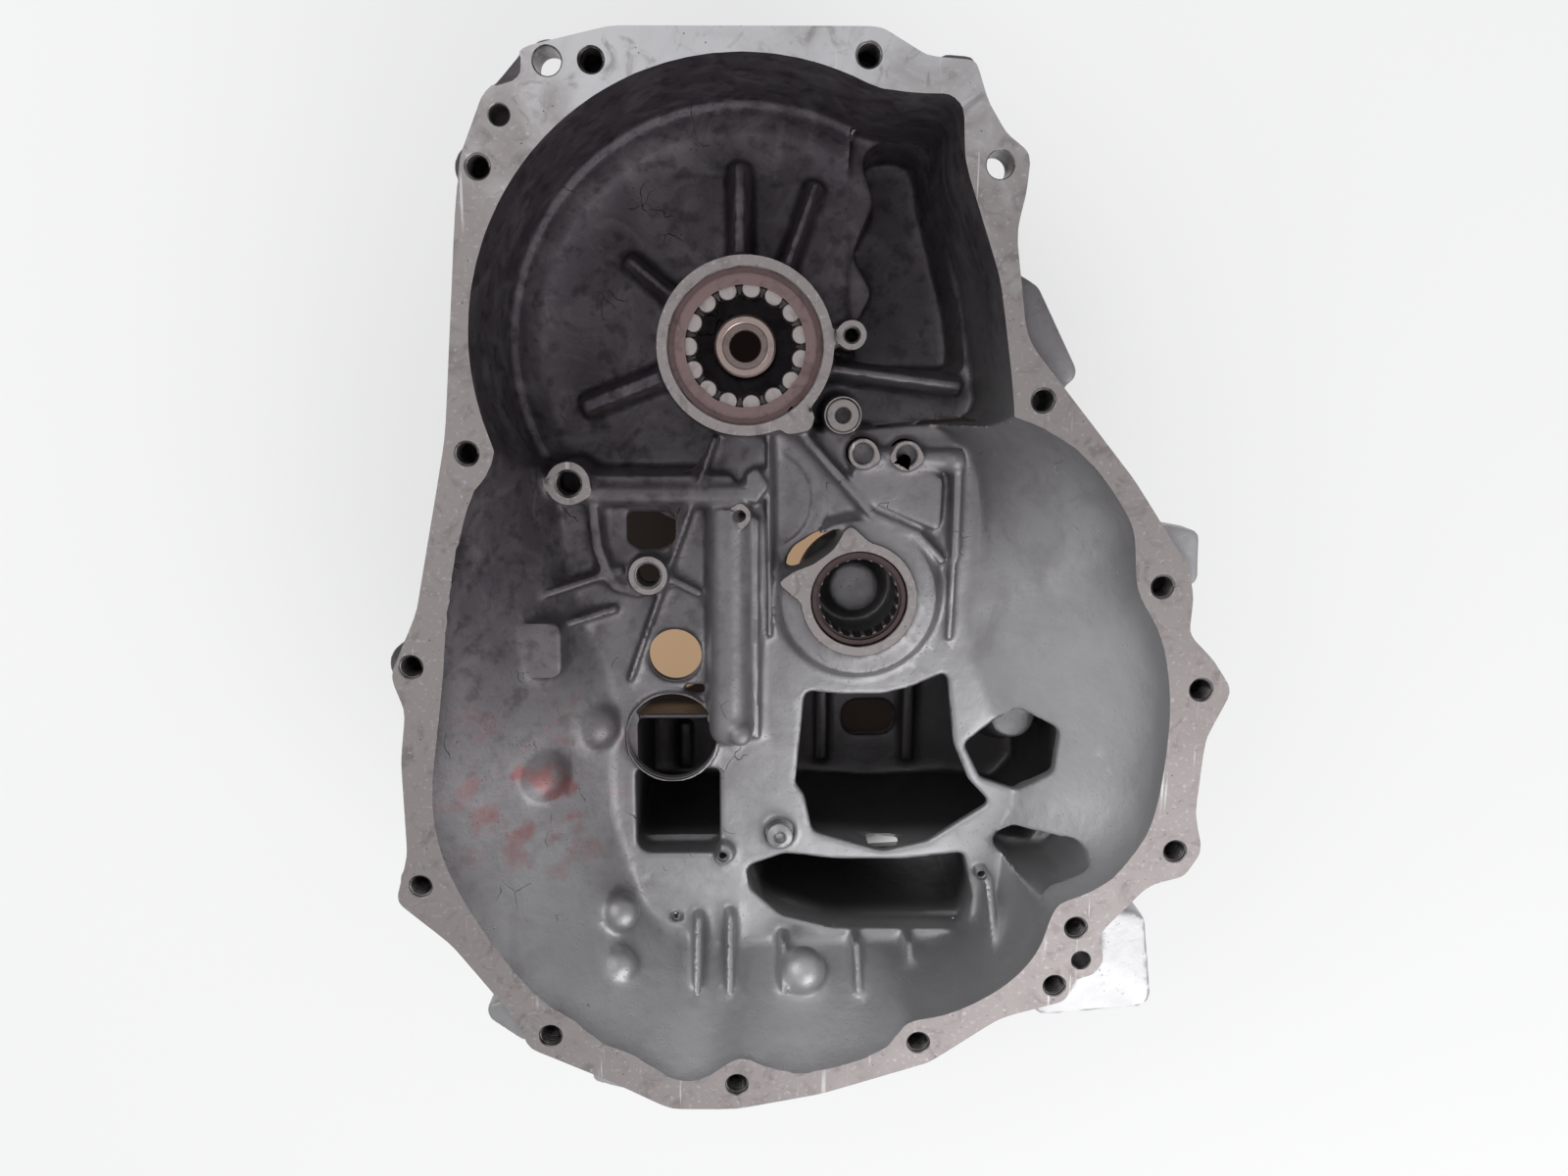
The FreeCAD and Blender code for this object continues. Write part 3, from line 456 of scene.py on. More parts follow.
def lathe(bm: bmesh.types.BMesh, profile: list[tuple[float, float]], x: float, y: float, sides: int) -> None:
    """Adds a closed body turned about an upright axis.

    Args:
        bm: Mesh that gets the body.
        profile: Radius and level of each corner from the top centre to the bottom centre, in millimetres.
        x: Axis place.
        y: Axis place.
        sides: Number of flats round the axis.
    """
    rows = []
    for radius, level in profile:
        if radius < 1e-6:
            rows.append([bm.verts.new((x, y, level))])
            continue
        angles = [2 * math.pi * index / sides for index in range(sides)]
        rows.append([bm.verts.new((x + radius * math.cos(a), y + radius * math.sin(a), level)) for a in angles])
    for upper, lower in zip(rows, rows[1:]):
        for index in range(sides):
            following = (index + 1) % sides
            if len(upper) == 1:
                bm.faces.new((upper[0], lower[index], lower[following]))
            elif len(lower) == 1:
                bm.faces.new((upper[index], lower[0], upper[following]))
            else:
                bm.faces.new((upper[index], lower[index], lower[following], upper[following]))


def block(bm: bmesh.types.BMesh, low: tuple, high: tuple) -> None:
    """Adds a box between two corners in millimetres."""
    middle = (Vector(low) + Vector(high)) / 2
    size = Vector(high) - Vector(low)
    bmesh.ops.create_cube(bm, size=1.0, matrix=Matrix.Translation(middle) @ Matrix.Diagonal((*size, 1)))


def set_finish(node: str, material: bpy.types.Material) -> None:
    """Gives a node of the frame its material."""
    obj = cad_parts[node]
    if not obj.material_slots:
        obj.data.materials.append(material)
    for place in obj.material_slots:
        place.material = material


def spread(node: str) -> tuple[float, float, float, float, float]:
    """Axis x, axis y, radius, low level and high level of a round node, in millimetres."""
    low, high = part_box(node)
    middle = (low + high) / (2 * MM)
    return middle.x, middle.y, (high.x - low.x) / (2 * MM), low.z / MM, high.z / MM


# ---------------------------------------------------------------- geometry node kit
class Tree:
    """A geometry node tree with named inputs that ends in Realize Instances and Set Material."""

    def __init__(self, name: str, sizes: dict[str, float | int]) -> None:
        """Starts a tree.

        Args:
            name: Name of the tree.
            sizes: Default of each named input; whole numbers become integer inputs.
        """
        self.group = bpy.data.node_groups.new(name, "GeometryNodeTree")
        face = self.group.interface
        face.new_socket("Places", in_out="INPUT", socket_type="NodeSocketGeometry")
        for key, value in sizes.items():
            kind = "NodeSocketInt" if isinstance(value, int) else "NodeSocketFloat"
            face.new_socket(key, in_out="INPUT", socket_type=kind).default_value = value
        face.new_socket("Finish", in_out="INPUT", socket_type="NodeSocketMaterial")
        face.new_socket("Result", in_out="OUTPUT", socket_type="NodeSocketGeometry")
        self.start = self.group.nodes.new("NodeGroupInput")
        self.end = self.group.nodes.new("NodeGroupOutput")

    def node(self, kind: str, settings: dict | None = None, inputs: dict | None = None) -> bpy.types.Node:
        """Adds any node.

        Args:
            kind: Blender's type name.
            settings: Properties, set first.
            inputs: Sockets or constants by socket name or index.

        Returns:
            The node.
        """
        made = self.group.nodes.new(kind)
        for key, value in (settings or {}).items():
            setattr(made, key, value)
        for key, value in (inputs or {}).items():
            if isinstance(value, bpy.types.NodeSocket):
                self.group.links.new(value, made.inputs[key])
            else:
                made.inputs[key].default_value = value
        return made

    def size(self, name: str) -> bpy.types.NodeSocket:
        """A named input."""
        return self.start.outputs[name]

    def math(self, operation: str, first: Any, second: Any) -> bpy.types.NodeSocket:
        """Result of a Math node."""
        return self.node("ShaderNodeMath", {"operation": operation}, {0: first, 1: second}).outputs[0]

    def close(self, geometry: bpy.types.NodeSocket) -> None:
        """Ends the tree with one copy of the geometry at each place."""
        spots = self.node("GeometryNodeInstanceOnPoints", None, {"Points": self.size("Places"), "Instance": geometry})
        real = self.node("GeometryNodeRealizeInstances", None, {0: spots.outputs[0]})
        inputs = {"Geometry": real.outputs[0], "Material": self.size("Finish")}
        dressed = self.node("GeometryNodeSetMaterial", None, inputs)
        self.group.links.new(dressed.outputs[0], self.end.inputs[0])

    def bake(self, name: str, places: list, sizes: dict[str, float | int], finish: bpy.types.Material) -> bpy.types.Object:
        """Runs the tree on a set of places and keeps the result as a plain mesh.

        Args:
            name: Name of the finished piece.
            places: Points in metres.
            sizes: Named inputs.
            finish: Material of the piece.

        Returns:
            The finished object, at the origin.
        """
        seed = bpy.data.meshes.new(name + "_places")
        seed.from_pydata(places, [], [])
        carrier = link(name + "_carrier", seed)
        modifier = carrier.modifiers.new("tree", "NODES")
        modifier.node_group = self.group
        for item in self.group.interface.items_tree:
            if item.in_out == "INPUT" and item.name in sizes:
                modifier[item.identifier] = sizes[item.name]
            if item.name == "Finish":
                modifier[item.identifier] = finish
        mesh = baked(carrier, name)
        carrier.modifiers.remove(modifier)
        bpy.data.objects.remove(carrier)
        return link(name, mesh)


def thread_tree() -> Tree:
    """Helical thread ridge: a triangular tooth swept along a spiral."""
    tree = Tree("thread_ridge", {"Radius": 0.006, "Tooth": 0.0009, "Pitch": 0.00175, "Turns": 10.0, "Sides": 24})
    spiral = tree.node("GeometryNodeCurveSpiral", None, {
        "Resolution": tree.size("Sides"), "Rotations": tree.size("Turns"),
        "Start Radius": tree.size("Radius"), "End Radius": tree.size("Radius"),
        "Height": tree.math("MULTIPLY", tree.size("Pitch"), tree.size("Turns"))})
    upright = tree.node("GeometryNodeSetCurveNormal", {"mode": "Z_UP"}, {"Curve": spiral.outputs[0]})
    tooth = tree.node("GeometryNodeCurvePrimitiveCircle", None, {"Resolution": 3, "Radius": tree.size("Tooth")})
    ridge = tree.node("GeometryNodeCurveToMesh", None, {
        "Curve": upright.outputs[0], "Profile Curve": tooth.outputs[0], "Fill Caps": True})
    tree.close(ridge.outputs[0])
    return tree


def bar_tree() -> Tree:
    """Upright round bar with a chamfer at each end."""
    tree = Tree("chamfered_bar", {"Radius": 0.005, "Length": 0.012, "Chamfer": 0.0004, "Sides": 32})
    line = tree.node("GeometryNodeCurvePrimitiveLine", None, {"End": (0.0, 0.0, 1.0)})
    four = tree.node("GeometryNodeResampleCurve", None, {"Curve": line.outputs[0], "Count": 4})
    index = tree.node("GeometryNodeInputIndex").outputs[0]
    past = [tree.math("GREATER_THAN", index, limit) for limit in (0.5, 1.5, 2.5)]
    flat = tree.math("SUBTRACT", tree.size("Length"), tree.math("MULTIPLY", tree.size("Chamfer"), 2.0))
    ends = tree.math("MULTIPLY", tree.math("ADD", past[0], past[2]), tree.size("Chamfer"))
    level = tree.math("ADD", ends, tree.math("MULTIPLY", past[1], flat))
    spot = tree.node("ShaderNodeCombineXYZ", None, {"Z": level})
    placed = tree.node("GeometryNodeSetPosition", None, {"Geometry": four.outputs[0], "Position": spot.outputs[0]})
    inner = tree.math("SUBTRACT", past[0], past[2])
    narrow = tree.math("MULTIPLY", tree.math("SUBTRACT", 1.0, inner), tree.size("Chamfer"))
    profile = tree.node("GeometryNodeCurvePrimitiveCircle", None, {"Resolution": tree.size("Sides"), "Radius": 1.0})
    bar = tree.node("GeometryNodeCurveToMesh", None, {
        "Curve": placed.outputs[0], "Profile Curve": profile.outputs[0], "Fill Caps": True,
        "Scale": tree.math("SUBTRACT", tree.size("Radius"), narrow)})
    tree.close(bar.outputs[0])
    return tree


# ---------------------------------------------------------------- casting
@dataclass(frozen=True)
class Hole:
    """Round hole that starts on a flat face: axis, radius, far end and face level, in millimetres."""

    x: float
    y: float
    radius: float
    far: float
    face: float


@dataclass
class Outline:
    """Closed edge of a flat face; the area is negative where the edge goes round a hole."""

    points: np.ndarray
    area: float

    def grown(self, reach: float) -> np.ndarray:
        """The outline pushed outwards by a reach in millimetres."""
        along = np.roll(self.points, -1, axis=0) - np.roll(self.points, 1, axis=0)
        along /= np.maximum(np.hypot(along[:, 0], along[:, 1]), 1e-9)[:, None]
        return self.points + np.stack([along[:, 1], -along[:, 0]], axis=1) * reach


def outlines(spots: np.ndarray, faces: np.ndarray, level: float, facing: int = 1) -> list[Outline]:
    """Edges of the flat faces of a solid at one level.

    Args:
        spots: Merged corners in millimetres.
        faces: Rows of corner indices.
        level: Level of the faces.
        facing: 1 for faces that look up, -1 for faces that look down.

    Returns:
        The closed edges.
    """
    flat = faces[np.all(np.abs(spots[faces][:, :, 2] - level) < 0.01, axis=1)]
    pairs = np.concatenate([flat[:, [0, 1]], flat[:, [1, 2]], flat[:, [2, 0]]])
    known = {(int(a), int(b)) for a, b in pairs}
    following = {a: b for a, b in known if (b, a) not in known}
    found = []
    while following:
        start = next(iter(following))
        loop = [start]
        here = following.pop(start)
        while here in following:
            loop.append(here)
            here = following.pop(here)
        ring = spots[loop][:, :2]
        ahead = np.roll(ring, -1, axis=0)
        area = float(np.sum(ring[:, 0] * ahead[:, 1] - ring[:, 1] * ahead[:, 0]) / 2) * facing
        if len(loop) > 7 or (len(loop) > 3 and area > 0):
            found.append(Outline(ring, area))
    return found


def round_holes(spots: np.ndarray, faces: np.ndarray, level: float, facing: int = 1) -> list[Hole]:
    """Finds the round holes in the flat faces of a solid at one level.

    Args:
        spots: Merged corners in millimetres.
        faces: Rows of corner indices.
        level: Level of the faces.
        facing: 1 for faces that look up, -1 for faces that look down.

    Returns:
        The holes, with their far end read from the wall behind each edge.
    """
    holes = []
    for edge in outlines(spots, faces, level, facing):
        middle = (edge.points.min(axis=0) + edge.points.max(axis=0)) / 2
        away = np.hypot(*(edge.points - middle).T)
        if edge.area > 0 or away.std() > 0.02 * away.mean():
            continue
        radius = float(away.mean())
        wall = np.abs(np.hypot(*(spots[:, :2] - middle).T) - radius) < 0.05
        depths = spots[wall & ((spots[:, 2] - level) * facing < 0.01)][:, 2]
        far = float(depths.min() if facing > 0 else depths.max())
        holes.append(Hole(float(middle[0]), float(middle[1]), radius, far, level))
    return holes


class Field:
    """Signed distance on a regular grid, negative inside, in millimetres."""

    def __init__(self, corners: np.ndarray, triangles: np.ndarray, step: float) -> None:
        """Measures a closed surface on a grid with the given step."""
        self.step = step
        self.transform = openvdb.createLinearTransform(voxelSize=step)
        grid = openvdb.FloatGrid.createLevelSetFromPolygons(
            corners, triangles=triangles.astype(np.uint32), transform=self.transform, halfWidth=5)
        low, high = grid.evalActiveVoxelBoundingBox()
        self.low = np.array(low) - 4
        self.values = np.zeros(tuple(np.array(high) + 5 - self.low), np.float32)
        grid.copyToArray(self.values, ijk=tuple(int(v) for v in self.low))

    def plane(self, axis: int, place: float) -> int:
        """Index of the grid plane nearest to a place on an axis."""
        index = int(round(place / self.step)) - int(self.low[axis])
        return min(max(index, 0), self.values.shape[axis] - 1)

    def window(self, low: tuple, high: tuple) -> tuple:
        """Slices of a box and the coordinates of its grid points."""
        spans = [(self.plane(axis, low[axis]), self.plane(axis, high[axis]) + 1) for axis in range(3)]
        lines = [(np.arange(a, b) + self.low[axis]) * self.step for axis, (a, b) in enumerate(spans)]
        slices = tuple(slice(a, b) for a, b in spans)
        return slices, lines[0][:, None, None], lines[1][None, :, None], lines[2][None, None, :]

    def plug(self, hole: Hole, stock: float) -> None:
        """Fills a hole, or lines its wall where it is wide, so that it can be bored afterwards."""
        reach = hole.radius + 1.5
        low, high = min(hole.far, hole.face), max(hole.face, hole.far)
        top = high + stock if high == hole.face else high
        bottom = low if high == hole.face else low - stock
        slices, x, y, z = self.window((hole.x - reach, hole.y - reach, bottom), (hole.x + reach, hole.y + reach, top))
        away = np.hypot(x - hole.x, y - hole.y)
        across = away - hole.radius - 1.0 if hole.radius < 15 else np.abs(away - hole.radius) - 1.6
        along = np.maximum(bottom - z, z - top)
        solid = np.maximum(across, along).astype(np.float32)
        self.values[slices] = np.minimum(self.values[slices], solid)

    def raise_face(self, edge: Outline, level: float, stock: float) -> None:
        """Adds machining stock above a flat face inside its outline."""
        ring = edge.grown(1.0)
        low, high = ring.min(axis=0) - 1, ring.max(axis=0) + 1
        slices, x, y, z = self.window((*low, level), (*high, level + stock))
        inside = np.zeros((x.shape[0], y.shape[1]), bool)
        px, py = x[:, :, 0], y[:, :, 0]
        for (x1, y1), (x2, y2) in zip(ring, np.roll(ring, -1, axis=0)):
            if abs(y2 - y1) < 1e-9:
                continue
            crosses = (y1 > py) != (y2 > py)
            inside ^= crosses & (px < (x2 - x1) * (py - y1) / (y2 - y1) + x1)
        below = self.values[slices[0], slices[1], self.plane(2, level - 0.9 * self.step)][:, :, None]
        block = self.values[slices]
        self.values[slices] = np.where(inside[:, :, None], np.minimum(block, below), block)

    def raise_top(self, level: float) -> None:
        """Extends the uppermost section upwards as machining stock."""
        last = self.plane(2, level - 0.9 * self.step)
        self.values[:, :, last + 1:] = self.values[:, :, last:last + 1]
        self.values[:, :, -2:] = np.abs(self.values[:, :, -2:]) + 0.1

    def blurred(self, sigma: float) -> np.ndarray:
        """The field after a Gaussian blur; sigma is in grid steps."""
        reach = int(math.ceil(2.5 * sigma))
        weights = np.exp(-0.5 * (np.arange(-reach, reach + 1) / sigma) ** 2)
        weights = (weights / weights.sum()).astype(np.float32)
        values = self.values
        for axis in range(3):
            margin = [(reach, reach) if other == axis else (0, 0) for other in range(3)]
            padded = np.pad(values, margin, mode="edge")
            total = np.zeros_like(values)
            for shift, weight in enumerate(weights):
                part = [slice(None)] * 3
                part[axis] = slice(shift, shift + values.shape[axis])
                total += weight * padded[tuple(part)]
            values = total
        return values

    def fillet(self, crisp: float, wide: float) -> None:
        """Rounds the edges a little and fills the inner corners with cast fillets."""
        self.values = np.minimum(self.blurred(crisp), self.blurred(wide))

    def mesh(self, name: str, adaptivity: float) -> bpy.types.Mesh:
        """Meshes the surface, with the faces outwards, in millimetres."""
        grid = openvdb.FloatGrid(background=float(self.values.max()))
        grid.copyFromArray(self.values, ijk=tuple(int(v) for v in self.low), tolerance=0.01)
        grid.transform = self.transform
        grid.gridClass = openvdb.GridClass.LEVEL_SET
        points, triangles, quads = grid.convertToPolygons(isovalue=0.0, adaptivity=adaptivity)
        loops = np.concatenate([quads[:, ::-1].reshape(-1), triangles[:, ::-1].reshape(-1)]).astype(np.int32)
        starts = np.concatenate([np.arange(len(quads)) * 4, len(quads) * 4 + np.arange(len(triangles)) * 3])
        mesh = bpy.data.meshes.new(name)
        mesh.vertices.add(len(points))
        mesh.vertices.foreach_set("co", points.reshape(-1).astype(np.float32))
        mesh.loops.add(len(loops))
        mesh.loops.foreach_set("vertex_index", loops)
        mesh.polygons.add(len(starts))
        mesh.polygons.foreach_set("loop_start", starts.astype(np.int32))
        mesh.update(calc_edges=True)
        mesh.validate()
        return mesh


@dataclass
class CastHousing:
    """The casting: a rough cast skin with fillets, then milled, bored and tapped."""

    flange_level: float = 50.0
    boss_level: float = 0.0
    screw_levels: tuple = (-6.0, -9.0, -15.0, -43.0)
    rear_level: float = -130.0
    step: float = 1.25
    crisp: float = 0.75
    wide: float = 2.4
    stock: float = 4.0
    kept_share: float = 0.45
    thread_depth: float = 0.65
    coarse_pitch: float = 1.75
    fine_pitch: float = 1.25
    sides: int = 72

    def build(self) -> None:
        """Makes the casting and its threads."""
        corners, triangles = solid_arrays("housing_casting")
        spots, back = np.unique(np.round(corners, 3), axis=0, return_inverse=True)
        faces = back.reshape(-1)[triangles]
        self.flange_holes = round_holes(spots, faces, self.flange_level)
        self.boss_holes = round_holes(spots, faces, self.boss_level)
        self.other_holes = [h for level in self.screw_levels for h in round_holes(spots, faces, level)]
        self.rear_holes = [h for h in round_holes(spots, faces, self.rear_level, -1) if h.radius < 6]
        self.boss_edges = [e for e in outlines(spots, faces, self.boss_level) if e.area > 20]
        field = Field(spots.astype(np.float32), faces, self.step * (1.0))
        for hole in self.flange_holes + self.boss_holes + self.other_holes:
            field.plug(hole, self.stock)
        for hole in self.rear_holes:
            field.plug(hole, 0.0)
        field.raise_top(self.flange_level)
        for edge in self.boss_edges:
            field.raise_face(edge, self.boss_level, self.stock)
        field.fillet(self.crisp, self.wide)
        rough = link("rough_casting", field.mesh("rough_casting", 0.05))
        self.machine(rough)
        self.dress(rough)
        tree = thread_tree()
        finish = BoredWall("thread_wall").material()
        for name, holes in (("flange_threads", self.flange_holes), ("boss_threads", self.boss_holes)):
            groups: dict[float, list[Hole]] = {}
            for hole in holes:
                if self.is_thread(hole):
                    groups.setdefault(round(hole.radius, 1), []).append(hole)
            for number, (radius, group) in enumerate(sorted(groups.items())):
                self.cut(tree, f"{name}_{number + 1}", radius, group, finish)

    def machine(self, rough: bpy.types.Object) -> None:
        """Thins the rough mesh, faces it and bores its holes."""
        thin = rough.modifiers.new("thin", "DECIMATE")
        thin.ratio = self.kept_share
        for name, maker in (("faces", self.facing_cutters), ("bores", self.bore_cutters)):
            bm = bmesh.new()
            maker(bm)
            mesh = bpy.data.meshes.new(name)
            bm.to_mesh(mesh)
            bm.free()
            cutter = link(name, mesh)
            step = rough.modifiers.new(name, "BOOLEAN")
            step.operation = "DIFFERENCE"
            step.solver = "MANIFOLD"
            step.object = cutter
        mesh = baked(rough, "housing_casting_skin")
        rough.modifiers.clear()
        rough.data = mesh
        for name in ("faces", "bores"):
            bpy.data.objects.remove(bpy.data.objects[name])

    def facing_cutters(self, bm: bmesh.types.BMesh) -> None:
        """Blocks that mill the flange and the boss faces flat."""
        block(bm, (-400, -600, self.flange_level), (500, 400, self.flange_level + 20))
        for edge in self.boss_edges:
            ring = edge.grown(1.5)
            low = [bm.verts.new((x, y, self.boss_level)) for x, y in ring]
            high = [bm.verts.new((x, y, self.boss_level + 2 * self.stock)) for x, y in ring]
            bm.faces.new(low[::-1])
            bm.faces.new(high)
            for index in range(len(ring)):
                after = (index + 1) % len(ring)
                bm.faces.new((low[index], low[after], high[after], high[index]))

    def bore_cutters(self, bm: bmesh.types.BMesh) -> None:
        """Turned bodies that bore every round hole."""
        for hole in self.flange_holes + self.boss_holes + self.other_holes:
            if hole.radius > 30:
                self.main_bore(bm, hole)
                continue
            wall = hole.radius + (self.thread_depth if self.is_thread(hole) else 0.0)
            mouth = wall + (0.6 if hole.radius < 15 else 0.3)
            top = hole.face + 2 * self.stock
            profile = [(0, top), (mouth, top), (mouth, hole.face), (wall, hole.face - (mouth - wall)),
                       (wall, hole.far), (0, hole.far)]
            lathe(bm, profile, hole.x, hole.y, self.sides)
        for hole in self.rear_holes:
            low = hole.face - self.stock
            lathe(bm, [(0, hole.far), (hole.radius, hole.far), (hole.radius, low), (0, low)], hole.x, hole.y, 32)

    def main_bore(self, bm: bmesh.types.BMesh, hole: Hole) -> None:
        """Seat, groove and shoulder of the main bearing and the seat of the tube."""
        groove_wall = spread("main_bearing_snap_ring")[2] + 0.2
        groove_low = spread("main_bearing_outer_ring")[4]
        groove_high = spread("main_bearing_snap_ring")[4] + 0.2
        tube_wall, tube_low = spread("support_tube")[2], spread("support_tube")[3]
        shoulder = spread("main_bearing_outer_ring")[3]
        inner = hole.radius - 7.0
        top = hole.face + 2 * self.stock
        lathe(bm, [(0, top), (hole.radius + 0.5, top), (hole.radius + 0.5, hole.face),
                   (hole.radius, hole.face - 0.5), (hole.radius, groove_high), (groove_wall, groove_high),
                   (groove_wall, groove_low), (hole.radius, groove_low), (hole.radius, shoulder),
                   (inner, shoulder), (inner, -60.0), (tube_wall, -60.0), (tube_wall, tube_low - 40.0),
                   (0, tube_low - 40.0)], hole.x, hole.y, 2 * self.sides)

    def dress(self, piece: bpy.types.Object) -> None:
        """Gives each face its finish and stands the piece in for the plain casting."""
        mesh = piece.data
        mesh.transform(Matrix.Scale(MM, 4))
        mesh.materials.clear()
        mesh.materials.append(CastSkin().material())
        mesh.materials.append(BoredWall().material())
        count = len(mesh.polygons)
        centre = np.empty(count * 3)
        normal = np.empty(count * 3)
        mesh.polygons.foreach_get("center", centre)
        mesh.polygons.foreach_get("normal", normal)
        centre = centre.reshape(-1, 3) / MM
        steep = np.abs(normal.reshape(-1, 3)[:, 2]) < 0.8
        bored = np.zeros(count, bool)
        for hole in self.flange_holes + self.boss_holes:
            away = np.hypot(centre[:, 0] - hole.x, centre[:, 1] - hole.y)
            bored |= steep & (np.abs(away - hole.radius) < 1.4) & (centre[:, 2] > hole.far - 0.1)
        mesh.polygons.foreach_set("material_index", bored.astype(np.int32))
        mesh.shade_smooth()
        mesh.set_sharp_from_angle(angle=math.radians(38))
        piece.name = "housing_casting_skin"
        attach(piece, "housing")
        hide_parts("housing_casting")
        LOG.info("%s: %d faces, %d bored", piece.name, count, int(bored.sum()))

    def is_thread(self, hole: Hole) -> bool:
        """Whether a hole is tapped: blind in the flange, or in a screw boss."""
        if hole.face == self.flange_level:
            return 4.9 < hole.radius < 5.3
        return hole.face == self.boss_level and (3.0 < hole.radius < 3.8 or 6.0 < hole.radius < 6.6)

    def cut(self, tree: Tree, name: str, radius: float, holes: list[Hole], finish: bpy.types.Material) -> None:
        """Adds the ridges of one thread size.

        Args:
            tree: The thread tree.
            name: Name of the piece.
            radius: Radius of the tapped holes in millimetres.
            holes: The holes.
            finish: Material of the ridges.
        """
        pitch = self.coarse_pitch if radius > 4 else self.fine_pitch
        turns = 9.0
        tooth = 0.5 * pitch
        places = [(h.x * MM, h.y * MM, (h.face - 1.2 - turns * pitch) * MM) for h in holes]
        sizes = {"Radius": (radius + self.thread_depth) * MM, "Tooth": tooth * MM, "Pitch": pitch * MM, "Turns": turns}
        piece = tree.bake(name, places, sizes, finish)
        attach(piece, "housing")
        LOG.info("%s: %d holes, %d faces", name, len(holes), len(piece.data.polygons))


# ---------------------------------------------------------------- bearings, tube and sleeve
@dataclass
class RollerRow:
    """Rolling pieces of one bearing, each on its own body."""

    prefix: str
    slot: Slot
    chamfer: float
    sides: int
    finish: TurnedSteel

    def build(self, tree: Tree) -> None:
        """Replaces each plain roller by a chamfered one."""
        material = self.finish.material()
        names = sorted(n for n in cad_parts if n.startswith(self.prefix) and n[-1].isdigit())
        for name in names:
            low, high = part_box(name)
            middle = (low + high) / 2
            sizes = {"Radius": (high.y - low.y) / 2, "Length": high.z - low.z, "Chamfer": self.chamfer * MM,
                     "Sides": self.sides}
            piece = tree.bake(name + "_ground", [(middle.x, middle.y, low.z)], sizes, material)
            piece.data.shade_smooth()
            piece.data.set_sharp_from_angle(angle=math.radians(30))
            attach(piece, name)
            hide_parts(name)
        LOG.info("%s: %d pieces", self.prefix, len(names))


@dataclass
class SteelPieces:
    """Turned and ground pieces that keep their own shape."""

    main_axis: tuple = (0.0, 0.0)
    needle_axis: tuple = (61.0, -133.0)
    sleeve_axis: tuple = (51.0, -35.0)

    def build(self) -> None:
        """Dresses each piece."""
        dark = (0.03, 0.024, 0.024, 1)
        finishes = {
            "main_bearing_outer_ring": TurnedSteel("ring_steel", (0.27, 0.19, 0.185, 1), dark, self.main_axis),
            "main_bearing_snap_ring": TurnedSteel("spring_steel", (0.15, 0.10, 0.10, 1), dark, self.main_axis, 0.3),
            "support_tube": TurnedSteel("tube_steel", (0.46, 0.36, 0.33, 1), dark, self.main_axis, 0.2, 0.25),
            "support_tube_bush": TurnedSteel("bush_steel", (0.24, 0.19, 0.18, 1), dark, self.main_axis, 0.28),
            "transfer_sleeve": TurnedSteel("sleeve_steel", (0.36, 0.32, 0.31, 1), dark, self.sleeve_axis, 0.25),
            "needle_bearing_shell": TurnedSteel("shell_steel", (0.10, 0.07, 0.07, 1), dark, self.needle_axis, 0.3),
            "needle_bearing_cage": TurnedSteel("cage_steel", (0.07, 0.055, 0.055, 1), dark, self.needle_axis, 0.35),
            "main_bearing_cage": OiledCage(),
        }
        for node, finish in finishes.items():
            set_finish(node, finish.material())
            LOG.info("%s dressed", node)


@dataclass(frozen=True)
class OiledCage:
    """Dark moulded cage, wet with oil."""

    base: tuple = (0.020, 0.016, 0.016, 1)
    worn: tuple = (0.075, 0.062, 0.060, 1)

    def material(self) -> bpy.types.Material:
        """Builds the material."""
        g = Graph("oiled_cage")
        blot = g.noise(220.0, 5.0, warp=0.6)
        tone = g.mix(blot.step(0.45, 0.7), self.base, self.worn)
        normal = g.bump(g.noise(1800.0, 3.0), 0.2, 0.0001)
        return g.dress(Base_Color=tone, Roughness=blot * 0.3 + 0.2, Normal=normal)


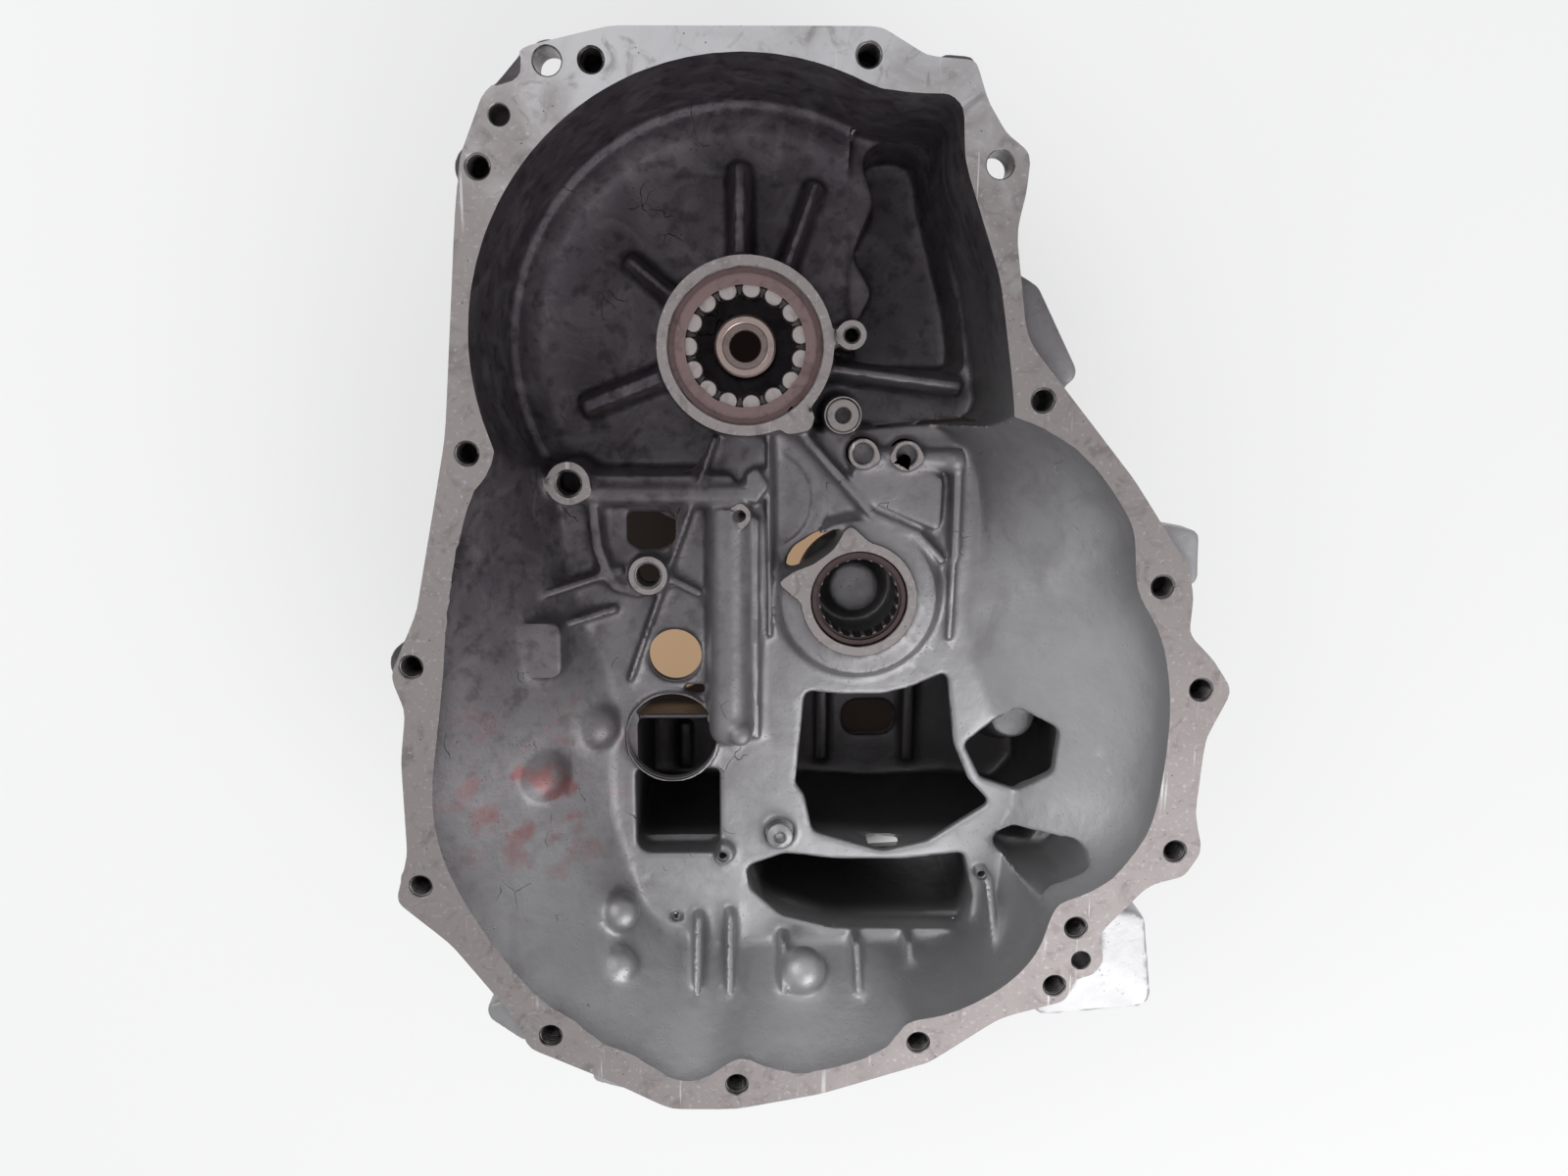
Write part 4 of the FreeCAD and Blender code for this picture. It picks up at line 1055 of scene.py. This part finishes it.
# ---------------------------------------------------------------- studio
@dataclass
class Studio:
    """Pale floor, soft light and the camera above the open side."""

    floor_size: float = 9.0
    key_power: float = 15.0
    fill_power: float = 5.0

    def build(self) -> None:
        """Makes the floor, the lamps, the world and the camera."""
        self.make_floor()
        self.make_lamps()
        self.make_world()
        self.make_camera()

    def make_floor(self) -> None:
        """White floor with a painted shadow under the case and two painted pools of lit beige table seen through two
        openings.
        """
        level = CAD_BOX_LOW.z - MM
        bm = bmesh.new()
        bmesh.ops.create_grid(bm, x_segments=4, y_segments=4, size=self.floor_size / 2)
        bmesh.ops.translate(bm, verts=bm.verts, vec=(0.0, 0.0, level))
        mesh = bpy.data.meshes.new("studio_floor")
        bm.to_mesh(mesh)
        bm.free()
        mesh.materials.append(self.floor_material())
        link("studio_floor", mesh)

    def floor_material(self) -> bpy.types.Material:
        """White to the eye and to mirrors, with a painted shadow and two painted pools of lit beige table under the
        case, and still shaded by it.
        """
        g = Graph("studio_floor")
        # Painted shadow: under the case the floor is coloured near black, both in its diffuse colour and in the glow
        # that the camera and reflections see.
        under = self.patch(g, (0.03, -0.13), (0.158, 0.224))
        # Painted light: two ovals of beige table colour under the case, standing in for the lit table seen through two
        # openings, in the diffuse colour and in the glow.
        painted_light_pools = (self.patch(g, (-0.047, -0.195), (0.024, 0.024))
                + self.patch(g, (0.036, -0.122), (0.030, 0.026))).clamp()
        tone = g.mix(under, (0.86, 0.86, 0.86, 1), (0.05, 0.035, 0.028, 1))
        tone = g.mix(painted_light_pools, tone, (0.60, 0.42, 0.27, 1))
        # The glow stays white for the backdrop and carries the painted shadow and the painted pools of light.
        glow = g.mix(under, (1.0, 1.0, 1.0, 1), (0.012, 0.008, 0.007, 1))
        glow = g.mix(painted_light_pools, glow, (0.62, 0.41, 0.25, 1))
        g.dress(Base_Color=tone, Roughness=0.8)
        path = g.node("ShaderNodeLightPath")
        seen = (Value(g, path.outputs["Is Camera Ray"]) + Value(g, path.outputs["Is Glossy Ray"])
                + Value(g, path.outputs["Is Transmission Ray"])).clamp()
        light = g.node("ShaderNodeEmission", None, {"Color": glow})
        blend = g.node("ShaderNodeMixShader", None, {0: seen * 0.55, 1: g.shader.outputs[0], 2: light.outputs[0]})
        g.tree.links.new(blend.outputs[0], g.output.inputs[0])
        return g.material

    def patch(self, g: Graph, middle: tuple, reach: tuple) -> Value:
        """Mask of an oval on the floor, in metres."""
        x = (g.axis(0) - middle[0]) / reach[0]
        y = (g.axis(1) - middle[1]) / reach[1]
        return 1.0 - (x * x + y * y).step(0.75, 1.0)

    def make_lamps(self) -> None:
        """Soft key from the lower right and a weak fill from the left."""
        for name, place, power, width in (
                ("key_lamp", (0.75, -1.25, 1.15), self.key_power, 1.3),
                ("fill_lamp", (-0.9, 0.35, 1.0), self.fill_power, 1.1)):
            light = bpy.data.lights.new(name, "AREA")
            light.energy = power
            light.size = width
            lamp = bpy.data.objects.new(name, light)
            lamp.location = place
            lamp.rotation_euler = (Vector((0.03, -0.13, 0.0)) - Vector(place)).to_track_quat("-Z", "Y").to_euler()
            bpy.context.scene.collection.objects.link(lamp)

    def make_world(self) -> None:
        """Even grey surroundings."""
        world = bpy.data.worlds.new("studio_world")
        world.use_nodes = True
        ground = world.node_tree.nodes["Background"]
        ground.inputs["Color"].default_value = (0.92, 0.93, 0.95, 1)
        ground.inputs["Strength"].default_value = 0.62
        bpy.context.scene.world = world

    def make_camera(self) -> None:
        """Camera above the open side, a little towards the lower chamber."""
        lens = bpy.data.cameras.new("camera")
        lens.lens = 27.0
        lens.sensor_width = 36.0
        camera = bpy.data.objects.new("camera", lens)
        right = Vector((0.9997, 0.0045, 0.0246)).normalized()
        back = Vector((-0.0250, 0.1802, 0.9833)).normalized()
        up = back.cross(right).normalized()
        turn = Matrix((right, up, back)).transposed().to_4x4()
        camera.matrix_world = Matrix.Translation((0.0048, -0.0132, 0.6188)) @ turn
        bpy.context.scene.collection.objects.link(camera)
        bpy.context.scene.camera = camera
        bpy.context.scene.view_settings.view_transform = "Standard"


def main() -> None:
    """Builds every piece and the studio."""
    logging.basicConfig(level=logging.INFO, format="%(message)s")
    CastHousing().build()
    SteelPieces().build()
    bars = bar_tree()
    steel = (0.50, 0.45, 0.44, 1)
    stain = (0.12, 0.08, 0.08, 1)
    RollerRow("main_roller_", Slot.ROLLER, 0.45, 40, TurnedSteel("roller_steel", steel, stain)).build(bars)
    RollerRow("needle_", Slot.NEEDLE, 0.25, 20, TurnedSteel("needle_steel", steel, stain)).build(bars)
    Studio().build()


if __name__ == "__main__":
    main()
